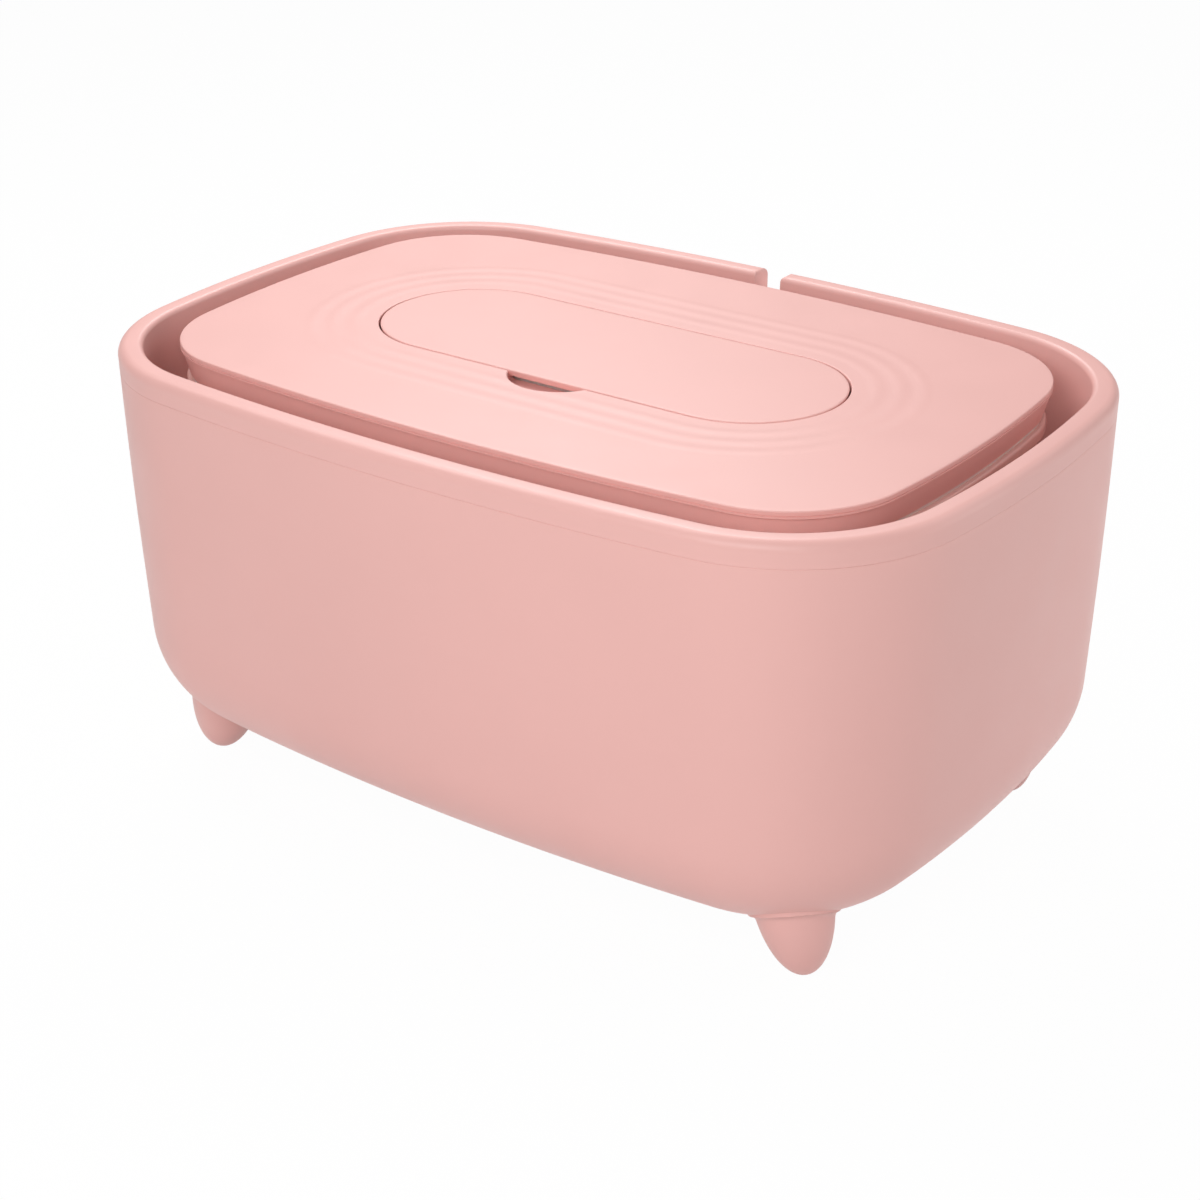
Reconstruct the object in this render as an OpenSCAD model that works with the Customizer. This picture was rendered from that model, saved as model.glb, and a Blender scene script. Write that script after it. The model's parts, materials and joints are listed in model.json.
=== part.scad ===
// Wipe warmer: a footed double-walled tub with a lift-out wipes bin and a heated drop-in lid with a flap.
// Millimetres. Origin on the floor under the middle of the tub, +Z up, front towards -Y.

/* [Tub] */
// Length of the tub at its rim
tub_l = 240; // [230:1:260]
// Width of the tub at its rim
tub_w = 162.6; // [156:0.2:176]
// Height of the tub without its feet
tub_h = 104.9; // [98:0.1:130]
// Radius of the four upright corners
corner_r = 46; // [45:0.5:50]
// How far each long side bows out
long_bow = 9.6; // [7:0.1:12]
// How far each short side bows out
short_bow = 10; // [7:0.1:12]
// How far the outer wall leans in from rim to base
tub_draft = 2.7; // [1:0.1:4]
// Radius of the rounded base edge
base_r = 28.7; // [24:0.1:30]
// Thickness of the outer shell
shell_t = 2.2; // [1.8:0.1:2.4]
// Thickness of the inner tub
inner_t = 2; // [1.6:0.1:2.2]
// Width of the rolled rim across both walls
rim_w = 6.4; // [6.2:0.1:8]
// Radius of the rim's outer edge
rim_out_r = 2.5; // [1.5:0.1:2.8]
// Radius of the rim's inner edge
rim_in_r = 1.5; // [0.8:0.1:2]
// Depth of the rolled rim down to the parting line
collar_h = 6; // [5:0.1:7]
// How far the inner tub leans in from rim to floor
inner_draft = 5.6; // [4:0.1:7]
// Radius of the inner tub's floor edge
inner_floor_r = 22; // [18:0.5:24]
// Height of the space between the two floors
floor_gap = 8; // [7.5:0.1:12]
// Height of the plinth that centres the bin
plinth_h = 2; // [1:0.1:3]

/* [Cord slot] */
// Width of the slot in the back rim
slot_w = 8; // [6:0.1:10]
// Depth of the slot below the rim
slot_depth = 10; // [8:0.1:11]
// Thickness of the slot's lining
slot_wall = 1.6; // [1.2:0.1:2.5]

/* [Feet] */
// Height of the tub's base above the floor
foot_h = 12.2; // [10:0.1:16]
// How far each foot stands out from its corner's centre, along the length
foot_out_x = 18.25; // [12:0.25:22]
// How far each foot stands out from its corner's centre, across the width
foot_out_y = 19.4; // [14:0.2:22]
// Radius of a foot where it is widest
foot_root_r = 9.7; // [8:0.1:11]
// Length of a foot's rounded part, from its tip to where it is widest
foot_round_l = 22.3; // [18:0.1:26]
// How far each foot leans outwards over its height
foot_splay = 3.35; // [0:0.05:4]
// Depth of the flat worn on each tip
foot_flat = 0.35; // [0.2:0.05:0.6]
// Radius of the peg on a foot
foot_peg_r = 4; // [3:0.1:4.5]

/* [Insulation] */
// Thickness of the foam sleeve round the inner tub
sleeve_t = 2; // [1.5:0.1:2.2]
// Height of the foam sleeve
sleeve_h = 44; // [30:1:50]

/* [Bin] */
// Gap from the tub's outline to the bin's lip
bin_inset = 16.6; // [16:0.1:18]
// Width of the bin's lip
bin_lip_w = 1.6; // [1:0.1:2]
// Height of the bin's lip
bin_lip_h = 3; // [2:0.1:4]
// Thickness of the bin's wall
bin_t = 1.8; // [1.4:0.1:2.2]
// How far the bin's wall leans in
bin_draft = 2; // [1:0.1:3]
// Radius of the bin's floor edge
bin_floor_r = 18; // [14:0.5:20]

/* [Lid] */
// Gap from the tub's outline to the lid's edge
lid_inset = 15.55; // [15:0.05:16]
// Height of the lid above the rim
lid_proud = 0.35; // [0:0.05:1]
// Thickness of the top cover
cover_t = 2.1; // [1.9:0.1:2.5]
// Radius of the cover's top edge
cover_edge_r = 0.6; // [0.3:0.1:0.9]
// Height of the tapered skirt under the cover
skirt_h = 6.25; // [6:0.05:8]
// How far the skirt tapers in
skirt_taper = 1.6; // [1:0.1:2]
// Depth of the space for the electronics
bay_h = 12.15; // [12.15:0.05:14]
// Thickness of the housing's walls
housing_t = 1.6; // [1.4:0.1:2]
// Thickness of the gasket under the lid
gasket_t = 1; // [0.8:0.1:1.4]
// Width of the gasket under the lid
gasket_w = 2; // [1.5:0.1:2.2]

/* [Flap] */
// Distance from each end of the flap to the lid's edge
flap_end = 38.65; // [36:0.05:42]
// Width of the flap
flap_w = 48.2; // [46:0.2:52]
// Gap round the flap
seam = 0.45; // [0.4:0.05:0.6]
// How far the flap sits behind the middle
flap_back = 0.6; // [0:0.1:1]
// Thickness of the flap
flap_t = 1.6; // [1.4:0.1:1.8]
// How far the flap's side leans in
flap_side = 0.35; // [0.3:0.05:0.5]
// Distance of the hinge behind the flap's edge
hinge_back = 5; // [5:0.1:6]
// Depth of the hinge below the lid's top
hinge_depth = 3; // [2.9:0.05:3.2]
// Radius of a hinge pin
pin_r = 0.9; // [0.7:0.05:1]
// Wall round a hinge pin
knuckle_t = 0.8; // [0.6:0.05:0.85]
// Distance of each hinge arm from the middle
arm_x = 28; // [22:0.5:32]
// Width of a hinge arm
arm_w = 5; // [4:0.1:6]
// Thickness of a hinge arm
arm_t = 1.8; // [1.4:0.1:2.2]

/* [Finger scoop] */
// Radius of the scoop in front of the flap
scoop_r = 12.8; // [10:0.1:14]
// How far the scoop reaches in front of the flap
scoop_reach = 7.1; // [5:0.1:8]
// Depth of the scoop
scoop_depth = 3.35; // [3:0.05:3.6]

/* [Throat] */
// Length of the opening that the wipes come through
throat_l = 89; // [80:1:94]
// Width of the opening that the wipes come through
throat_w = 27; // [22:0.5:28]
// Depth of the well under the flap
well_depth = 6.85; // [6.5:0.05:7.2]
// Length of the slit in the soft seal
slit_l = 62; // [50:1:70]
// Width of the slit in the soft seal
slit_w = 7; // [6:0.5:9]
// Thickness of the soft seal
soft_t = 1.2; // [1:0.1:1.5]

/* [Heater] */
// Thickness of the aluminium heater plate
plate_t = 1.5; // [1.2:0.1:2]
// Thickness of the heating film
film_t = 0.3; // [0.2:0.05:0.4]
// Thickness of the felt above the film
felt_t = 3.5; // [3.4:0.1:4]

/* [Electronics] */
// Length of the control board along the lid
board_l = 28; // [27:0.5:29]
// Width of the control board across the lid
board_w = 44; // [42:1:48]
// Thickness of the control board
board_t = 1.6; // [1.2:0.1:1.6]
// Gap from the board's end to the housing's wall
board_gap = 2.7; // [2.2:0.1:3]
// Radius of a lead
lead_r = 0.7; // [0.5:0.05:0.75]

/* [Cord gland] */
// Radius of the gland's bore
gland_bore_r = 1.7; // [1.4:0.1:1.8]
// Radius of the gland's body
gland_r = 2.3; // [2.2:0.05:2.4]
// Radius of the gland's flanges
gland_flange_r = 2.8; // [2.7:0.05:2.9]
// Thickness of the gland's flanges
gland_flange_t = 1; // [0.8:0.1:1.2]

/* [Fits] */
// Clearance round a pin or a screw
pin_fit = 0.05; // [0.02:0.01:0.08]
// Clearance between seated pieces
seat_gap = 0.3; // [0.2:0.05:0.35]

/* [Screws] */
// Radius of a screw's shank
screw_r = 1.45; // [1.3:0.05:1.5]
// Radius of a screw's head
head_r = 3; // [2.8:0.05:3.1]
// Height of a screw's head
head_h = 2.1; // [1.8:0.1:2.2]
// Radius of a small screw's shank
small_r = 1; // [0.9:0.05:1.1]
// Radius of a small screw's head
small_head_r = 1.9; // [1.8:0.05:2]

/* [Hidden] */

pink = [0.96, 0.77, 0.74];
grey_foam = [0.42, 0.43, 0.45];
bin_pink = [0.86, 0.7, 0.67];
rubber = [0.9, 0.88, 0.87];
steel = [0.72, 0.73, 0.75];
alloy = [0.82, 0.83, 0.85];
amber = [0.8, 0.48, 0.12];
board_green = [0.1, 0.42, 0.24];
dark = [0.14, 0.14, 0.15];
lead_red = [0.75, 0.12, 0.1];

round_fn = 96;   // facets of a boss, a foot or a stadium's end
small_fn = 48;   // facets of a screw, pin or lead
side_fn = 720;   // facets of a full turn of a long, flat arc
hair = 0.02;     // how much slimmer a side is than the corners that lap over it
lap_a = 1;       // angle by which a corner laps over a side
corner_n = 12;   // steps round a flat plate's corner
side_n = 6;      // steps along a flat plate's side
edge_n = 9;      // steps along a rounded floor edge
rim_n = 4;       // steps along a rounded rim
eps = 0.01;

// Heights, from the floor up
base_z = foot_h;
rim_z = base_z + tub_h;
part_z = rim_z - collar_h;
shell_floor_z = base_z + shell_t;
inner_under_z = shell_floor_z + floor_gap;
inner_floor_z = inner_under_z + inner_t;
plinth_z = inner_floor_z + plinth_h;
bin_floor_z = plinth_z + bin_t;
lid_z = rim_z + lid_proud;
cover_z = lid_z - cover_t;
skirt_z = cover_z - skirt_h;
bin_top_z = skirt_z - gasket_t;
bay_z = cover_z - bay_h;
tray_z = bay_z - housing_t;
film_z = tray_z - felt_t;
plate_z = film_z - film_t;
lid_under_z = plate_z - plate_t;
well_z = lid_z - well_depth;
well_under_z = well_z - housing_t;

// The outline has four bowed sides and four round corners, all of them arcs.
// A line drawn at some inset keeps the same centres and takes the inset off each radius.
flap_l = tub_l - 2*lid_inset - 2*flap_end;
half_l = tub_l/2;
half_w = tub_w/2;
long_r = (half_l^2 + long_bow^2)/(2*long_bow);
short_r = (half_w^2 + short_bow^2)/(2*short_bow);
long_c = [0, half_w - long_r];
short_c = [half_l - short_r, 0];
long_reach = long_r - corner_r;
short_reach = short_r - corner_r;
centre_gap = norm(short_c - long_c);
centre_dir = (short_c - long_c)/centre_gap;
along = (long_reach^2 - short_reach^2 + centre_gap^2)/(2*centre_gap);
across = sqrt(long_reach^2 - along^2);
corner_c = long_c + along*centre_dir + across*[centre_dir.y, -centre_dir.x];
long_a = asin(corner_c.x/long_reach);
short_a = asin(corner_c.y/short_reach);
middle_in = corner_r - 1;    // inset of the edge of a floor's flat middle

function arc(c, r, a0, a1, n) =
    [for (i = [0:n]) let (a = a0 + (a1 - a0)*i/n) [c.x + r*cos(a), c.y + r*sin(a)]];
function open_arc(c, r, a0, a1, n) = let (p = arc(c, r, a0, a1, n)) [for (i = [0:n - 1]) p[i]];
function reversed(p) = [for (i = [len(p) - 1:-1:0]) p[i]];

// Points of the outline at inset d, counterclockwise
function outline(d) = [
    for (turn = [1, -1]) for (p = concat(
        open_arc(short_c, short_r - d, -short_a, short_a, side_n),
        open_arc(corner_c, corner_r - d, short_a, 90 - long_a, corner_n),
        open_arc(long_c, long_r - d, 90 - long_a, 90 + long_a, side_n),
        open_arc([-corner_c.x, corner_c.y], corner_r - d, 90 + long_a, 180 - short_a, corner_n)))
    turn*p];

// A closed section drawn in by d all round: points run clockwise as [inset, height]
function unit(v) = v/norm(v);
function drawn_in(p, d) = let (n = len(p)) [for (i = [0:n - 1])
    let (u = unit(p[i] - p[(i + n - 1)%n]), v = unit(p[(i + 1)%n] - p[i]))
    p[i] + d*([u.y, -u.x] + [v.y, -v.x])/(1 + u*v)];

// One stretch of a sweep, about the centre of its arc
module stretch(centre, radius, from, to, section, fn) {
    translate([centre.x, centre.y, 0]) rotate([0, 0, from])
        rotate_extrude(angle = to - from, $fn = fn)
            polygon([for (p = section) [radius - p.x, p.y]]);
}

// A closed section of [inset, height] points, clockwise, swept round the outline.
// The corners lap over the ends of the sides, which are a hair slimmer.
module hoop(section) {
    slim = drawn_in(section, hair);
    for (turn = [0, 180]) rotate([0, 0, turn]) {
        stretch(short_c, short_r, -short_a, short_a, slim, side_fn);
        stretch(long_c, long_r, 90 - long_a, 90 + long_a, slim, side_fn);
        stretch(corner_c, corner_r, short_a - lap_a, 90 - long_a + lap_a, section, round_fn);
        stretch([-corner_c.x, corner_c.y], corner_r, 90 + long_a - lap_a, 180 - short_a + lap_a,
            section, round_fn);
    }
}

// A hoop that carries on into a flat floor between z0 and z1
module bowl(section, z0, z1) {
    hoop(section);
    translate([0, 0, z0 + hair/2]) linear_extrude(z1 - z0 - hair) polygon(outline(middle_in - 2));
}

// A flat plate whose edge lies at inset d
module slab(d, z0, z1) {
    translate([0, 0, z0]) linear_extrude(z1 - z0) polygon(outline(d));
}

// A section of [inset, height] points swept round a stadium of length l and width w
module stadium_sweep(l, w, section) {
    straight = l - w;
    for (turn = [0, 180]) rotate([0, 0, turn]) {
        translate([straight/2, 0, 0]) rotate([0, 0, -90])
            rotate_extrude(angle = 180, $fn = round_fn) polygon([for (p = section) [w/2 - p.x, p.y]]);
        translate([-straight/2, 0, 0]) rotate([90, 0, 90])
            linear_extrude(straight) polygon([for (p = section) [w/2 - p.x, p.y]]);
    }
}

// A solid stadium, and a stadium-shaped wall of thickness t
module stadium(l, w, z0, z1) {
    stadium_sweep(l, w, [[0, z0], [0, z1], [w/2, z1], [w/2, z0]]);
}
module stadium_wall(l, w, t, z0, z1) {
    stadium_sweep(l, w, [[0, z0], [0, z1], [t, z1], [t, z0]]);
}

module rod(r, z0, z1) {
    translate([0, 0, z0]) cylinder(r = r, h = z1 - z0, $fn = small_fn);
}
module at_each(places) {
    for (p = places) translate([p.x, p.y, 0]) children();
}
module block(x, y, z) {
    translate([x[0], y[0], z[0]]) cube([x[1] - x[0], y[1] - y[0], z[1] - z[0]]);
}
function four(x, y) = [for (sx = [-1, 1]) for (sy = [-1, 1]) [sx*x, sy*y]];

// ---- Tub ----

// Inset of the outer face and of the inner face at a height
outer_slope = tub_draft/tub_h;
function outer_in(z) = outer_slope*(rim_z - z);
inner_slope = inner_draft/tub_h;
function inner_in(z) = rim_w + inner_slope*(rim_z - z);
// Centre of a floor edge of radius r that joins a floor at z to a wall of that slope
function edge_c(wall_in, slope, r, z) = [wall_in + r*sqrt(1 + slope^2), z + r];
function edge(c, r, slope) = arc(c, r, 180 + atan(slope), 270, edge_n);

outer_c = edge_c(outer_in(base_z + base_r), outer_slope, base_r, base_z);
inner_c = edge_c(inner_in(inner_floor_z + inner_floor_r), inner_slope, inner_floor_r, inner_floor_z);

foot_boss_r = 6.5;
foot_boss_z = shell_floor_z + 6.4;
foot_seat_t = 2.2;
foot_peg_z = foot_boss_z - foot_seat_t;
foot_x = corner_c.x + foot_out_x;
foot_y = corner_c.y + foot_out_y;
foot_screw_l = 12;
foot_fit = 0.05;
foot_places = four(foot_x, foot_y);

tub_places = four(corner_c.x - 26.3, corner_c.y - 7.6);
tub_pocket_h = 3.2;
tub_pad_t = 2;
tub_pad_r = head_r + 3;
tub_seat_z = base_z + tub_pocket_h;
tub_boss_r = 4;
tub_screw_z = inner_floor_z + plinth_h/2;

// The tub's corner at [sx, sy] as a solid, grown by g over its outer face
module corner_solid(sx, sy, g) {
    translate([sx*corner_c.x, sy*corner_c.y, 0]) rotate_extrude($fn = round_fn)
        polygon([for (p = concat([[corner_r, base_z - g], [corner_r, rim_z],
            [outer_in(part_z) - g, part_z]], edge(outer_c, base_r + g, outer_slope)))
            [corner_r - p.x, p.y]]);
}

// The slot in the back rim, as a solid to take away or, grown by t, to line it with
module slot_shape(t, top) {
    reach = inner_in(rim_z - slot_depth) + 4;
    bottom = rim_z - slot_depth + slot_w/2;
    translate([0, half_w + 2, bottom]) rotate([90, 0, 0])
        cylinder(r = slot_w/2 + t, h = reach + 4, $fn = small_fn);
    block([-slot_w/2 - t, slot_w/2 + t], [half_w - reach - 2, half_w + 2], [bottom, top]);
}

module outer_shell() {
    color(pink) difference() {
        union() {
            bowl(concat(
                [[middle_in, base_z]], reversed(edge(outer_c, base_r, outer_slope)),
                [[outer_in(part_z), part_z], [outer_in(part_z) + shell_t, part_z]],
                edge(outer_c, base_r - shell_t, outer_slope),
                [[middle_in, shell_floor_z]]), base_z, shell_floor_z);
            at_each(tub_places) rod(tub_pad_r, shell_floor_z - 1, tub_seat_z + tub_pad_t);
            for (sx = [-1, 1]) for (sy = [-1, 1]) intersection() {
                translate([sx*foot_x, sy*foot_y, 0]) rod(foot_boss_r, base_z, foot_boss_z);
                corner_solid(sx, sy, -shell_t/2);
            }
        }
        at_each(tub_places) {
            rod(head_r + seat_gap, base_z - 1, tub_seat_z);
            rod(screw_r + pin_fit, base_z, rim_z);
        }
        at_each(foot_places) {
            rod(foot_peg_r + pin_fit, 0, foot_peg_z);
            rod(screw_r + pin_fit, 0, rim_z);
        }
        slot_shape(0, rim_z + 1);
    }
}

tongue_t = 1;
tongue_h = 5;
tongue_in = outer_in(part_z) + shell_t + 0.15;
channel_z = rim_z - inner_t - 0.6;
wall_out = rim_w - inner_t;

module inner_tub() {
    outer_rim = concat(
        [[outer_in(part_z), part_z]],
        arc([rim_out_r, rim_z - rim_out_r], rim_out_r, 180, 90, rim_n),
        arc([rim_w - rim_in_r, rim_z - rim_in_r], rim_in_r, 90, 0, rim_n));
    color(pink) difference() {
        union() {
            // Inner wall, floor and the rolled rim, as one skin
            bowl(concat(
                [[middle_in, inner_under_z]],
                reversed(edge(inner_c, inner_floor_r + inner_t, inner_slope)),
                [[wall_out, channel_z], [tongue_in + tongue_t, channel_z],
                    [tongue_in + tongue_t, part_z - tongue_h], [tongue_in, part_z - tongue_h],
                    [tongue_in, part_z]],
                outer_rim,
                edge(inner_c, inner_floor_r, inner_slope),
                [[middle_in, inner_floor_z]]), inner_under_z, inner_floor_z);
            slab(plinth_in, inner_floor_z - 1, plinth_z);
            at_each(tub_places) rod(tub_boss_r, tub_seat_z + tub_pad_t, inner_floor_z - 1);
            // Lining of the cord slot, inside the two walls
            intersection() {
                slot_shape(slot_wall, rim_z - rim_out_r);
                hoop([[tongue_in, part_z - tongue_h - 4], [tongue_in, part_z],
                    [outer_in(part_z), part_z], [0.1, rim_z - rim_out_r], [rim_w - 0.3, rim_z - rim_out_r],
                    [rim_w - 0.3, part_z - tongue_h - 4]]);
            }
        }
        slot_shape(0, rim_z + 1);
        at_each(tub_places) rod(screw_r + pin_fit, base_z, tub_screw_z + seat_gap);
    }
}

// A pan-head screw that points up, its head's seat at z
module screw_up(z, top) {
    rod(head_r, z - head_h, z);
    rod(screw_r, z - eps, top);
}
// A pan-head screw that points down, its head's seat at z
module screw_down(z, bottom) {
    rod(head_r, z, z + head_h);
    rod(screw_r, bottom, z + eps);
}

module tub_screws() {
    color(steel) at_each(tub_places) screw_up(tub_seat_z, tub_screw_z);
}
module foot_screws() {
    color(steel) at_each(foot_places) screw_down(foot_boss_z, foot_boss_z - foot_screw_l);
}

// A foot: the lower half of a long ellipsoid, leaning out, cut flat where it stands
root_z = base_z + 2.5;
foot_lean = atan(foot_splay/root_z);
foot_reach = norm([foot_round_l*cos(foot_lean), foot_root_r*sin(foot_lean)]);
foot_widest = (foot_reach - foot_flat - root_z)/cos(foot_lean);
foot_top = foot_widest + 5;
foot_peg_low_z = base_z/2;
foot_section = concat(
    [[0, foot_top], [foot_root_r, foot_top]],
    [for (a = [0:7.5:82.5]) [foot_root_r*cos(a), foot_widest - foot_round_l*sin(a)]],
    [[0, foot_widest - foot_round_l]]);

module foot(sx, sy) {
    color(pink) difference() {
        union() {
            difference() {
                translate([sx*foot_x, sy*foot_y, root_z]) rotate([0, sx*-foot_lean, 0])
                    rotate_extrude($fn = round_fn) polygon(foot_section);
                corner_solid(sx, sy, foot_fit);
            }
            translate([sx*foot_x, sy*foot_y, 0]) rod(foot_peg_r, foot_peg_low_z, foot_peg_z);
        }
        translate([sx*foot_x, sy*foot_y, 0])
            rod(screw_r + pin_fit, foot_boss_z - foot_screw_l - seat_gap, rim_z);
        block([sx*foot_x - 20, sx*foot_x + 20], [sy*foot_y - 20, sy*foot_y + 20], [-20, 0]);
    }
}

sleeve_out_z = inner_c.y + 4;
module insulation_sleeve() {
    gap_in = inner_t + 0.2;
    top = sleeve_out_z + sleeve_h;
    color(grey_foam) hoop([
        [inner_in(sleeve_out_z) - gap_in - sleeve_t, sleeve_out_z],
        [inner_in(top) - gap_in - sleeve_t, top],
        [inner_in(top) - gap_in, top],
        [inner_in(sleeve_out_z) - gap_in, sleeve_out_z]]);
}

module insulation_base() {
    color(grey_foam) difference() {
        slab(outer_c.x + 1, shell_floor_z, inner_under_z);
        at_each(tub_places) rod(tub_pad_r + seat_gap, 0, rim_z);
        at_each(foot_places) rod(foot_boss_r + 1, 0, rim_z);
    }
}

// ---- Bin ----

bin_wall_in = bin_inset + bin_lip_w;
bin_slope = bin_draft/(bin_top_z - plinth_z);
bin_foot_z = inner_floor_z + seat_gap;
function bin_in(z) = bin_wall_in + bin_slope*(bin_top_z - z);
bin_lip_low_z = bin_top_z - bin_lip_h - 0.6;
bin_outer_c = edge_c(bin_in(bin_foot_z + bin_floor_r), bin_slope, bin_floor_r, bin_foot_z);
bin_inner_c = [bin_outer_c.x, bin_floor_z + bin_floor_r - bin_t];
bin_foot_w = 2.4;
plinth_in = bin_outer_c.x + bin_foot_w + seat_gap;
bin_lip_r = 0.8;
bin_mouth_in = bin_wall_in + bin_t;

module wipes_bin() {
    color(bin_pink) difference() {
        bowl(concat(
            [[middle_in, bin_foot_z]],
            reversed(edge(bin_outer_c, bin_floor_r, bin_slope)),
            [[bin_in(bin_lip_low_z), bin_lip_low_z], [bin_inset, bin_top_z - bin_lip_h]],
            arc([bin_inset + bin_lip_r, bin_top_z - bin_lip_r], bin_lip_r, 180, 90, 3),
            [[bin_mouth_in, bin_top_z]],
            edge(bin_inner_c, bin_floor_r - bin_t, bin_slope),
            [[middle_in, bin_floor_z]]), bin_foot_z, bin_floor_z);
        slab(plinth_in - seat_gap, bin_foot_z - 1, plinth_z);
    }
}

// ---- Lid ----

skirt_in = lid_inset + 0.35;
skirt_low_in = skirt_in + skirt_taper;
pan_in = bin_mouth_in + 1.2;
pan_low_in = pan_in + 0.4;
tray_in = pan_low_in + housing_t + 0.2;
gasket_in = bin_inset + 1.3;

module lid_gasket() {
    color(rubber) hoop([
        [gasket_in, bin_top_z], [gasket_in, skirt_z],
        [gasket_in + gasket_w, skirt_z], [gasket_in + gasket_w, bin_top_z]]);
}

// The throat, the collar that guides it and the hole through the heater
collar_fit = 0.3;
tube_t = 1.6;
tube_l = throat_l + 2*tube_t;
tube_w = throat_w + 2*tube_t;
guide_l = tube_l + 2*collar_fit;
guide_w = tube_w + 2*collar_fit;
guide_out_l = guide_l + 2*housing_t;
guide_out_w = guide_w + 2*housing_t;
stack_l = guide_out_l + 2*seat_gap;
stack_w = guide_out_w + 2*seat_gap;
tube_low_z = tray_z - 0.8;

lid_screw_places = four(corner_c.x + 9.7, corner_c.y + 11.4);
lid_boss_r = 3.5;
lid_screw_z = cover_z - 1;
plate_mid_y = half_w - 40.3;
plate_screw_places = concat(four(corner_c.x - 10.3, corner_c.y + 6.4),
    [[0, plate_mid_y], [0, -plate_mid_y]]);
plate_boss_r = 3;
plate_screw_z = bay_z - 0.4;

board_z = bay_z + 3.7;
board_x = half_l - pan_low_in - housing_t - 0.1 - board_gap - board_l;
board_mid = board_x + board_l/2;
board_post_places = [for (sx = [-1, 1]) for (y = [board_w/2 - 3, -10])
    [board_mid + sx*(board_l/2 - 2.8), y]];
board_post_r = 2.6;

gland_z = (cover_z + skirt_z)/2;
gland_y = half_w - skirt_low_in - 0.6;
gland_l = 5.4;
gland_in_y = gland_y + gland_flange_t - gland_l;

// A cylinder along Y at the gland's height
module along_y(r, y0, y1) {
    translate([0, y1, gland_z]) rotate([90, 0, 0]) cylinder(r = r, h = y1 - y0, $fn = small_fn);
}

// The leads rise in front of the board, in pairs about these places along X
riser_y = -board_w/2 - 4.6;
film_x = board_x + 4.6;
thermistor_x = board_x + 12;
fuse_x = board_x + 20.2;
function pair(x) = [x - 1.3, x + 1.3];
film_lead_x = pair(film_x);
thermistor_lead_x = pair(thermistor_x);
fuse_lead_x = pair(fuse_x);

module lid_housing() {
    color(pink) difference() {
        union() {
            difference() {
                bowl([
                    [middle_in, tray_z], [tray_in, tray_z], [tray_in, lid_under_z],
                    [pan_low_in, lid_under_z], [pan_in, skirt_z], [skirt_low_in, skirt_z],
                    [skirt_in, cover_z], [skirt_in + housing_t + 0.2, cover_z],
                    [skirt_low_in + housing_t, skirt_z + housing_t], [pan_in + housing_t, skirt_z + housing_t],
                    [pan_low_in + housing_t, bay_z], [middle_in, bay_z]], tray_z, bay_z);
                stadium(guide_l + 1, guide_w + 1, lid_under_z - 1, cover_z);
            }
            stadium_wall(guide_out_l, guide_out_w, housing_t, lid_under_z, bay_z);
            at_each(plate_screw_places) rod(plate_boss_r, plate_z, bay_z - eps);
            at_each(board_post_places) rod(board_post_r, bay_z - 1, board_z);
            // Thickening round the gland
            intersection() {
                along_y(gland_flange_r, gland_in_y + gland_flange_t, gland_y + 1);
                block([-10, 10], [0, gland_y + 1], [skirt_z + 0.1, cover_z - 0.05]);
            }
        }
        at_each(lid_screw_places) rod(screw_r + pin_fit, lid_under_z, rim_z);
        at_each(plate_screw_places) rod(small_r + pin_fit, lid_under_z, plate_screw_z);
        at_each(board_post_places) rod(small_r + pin_fit, bay_z + 0.5, rim_z);
        along_y(gland_r + pin_fit, gland_in_y - 5, gland_y + 5);
        // Flat faces for the gland's flanges
        along_y(gland_flange_r + 0.1, gland_y, gland_y + 4);
        along_y(gland_flange_r + 0.1, gland_in_y - 0.4, gland_in_y + gland_flange_t);
        for (x = concat(film_lead_x, thermistor_lead_x, fuse_lead_x))
            translate([x, riser_y, 0]) rod(lead_r + 0.3, lid_under_z, bay_z + 1);
    }
}

// Aperture of the flap, and the hinge behind it
hole_l = flap_l + 2*seam;
hole_w = flap_w + 2*seam;
hinge_y = flap_back + flap_w/2 + hinge_back;
hinge_z = lid_z - hinge_depth;
knuckle_r = pin_r + knuckle_t;
hinge_roof_t = 1;
hinge_roof_z = lid_z - hinge_roof_t;
arm_in_r = norm([hinge_back - seam, hinge_depth]) + 0.3;
arm_out_r = arm_in_r + arm_t;
hinge_side = 0.4;
pocket_w = arm_w + 2*hinge_side;
ear_t = 1.8;
box_w = pocket_w + 2*ear_t;
pocket_front_y = hinge_y - arm_out_r - 0.9;
pocket_back_y = hinge_y + 3.2;
pocket_z = hinge_z - arm_out_r - 0.5;
box_t = 1.4;

scoop_y = flap_back - flap_w/2 - seam - scoop_reach + scoop_r;
scoop_z = lid_z - scoop_depth;
scoop_floor_t = 1.2;
scoop_end_y = flap_back - flap_w/2 + 2.6;

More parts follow.
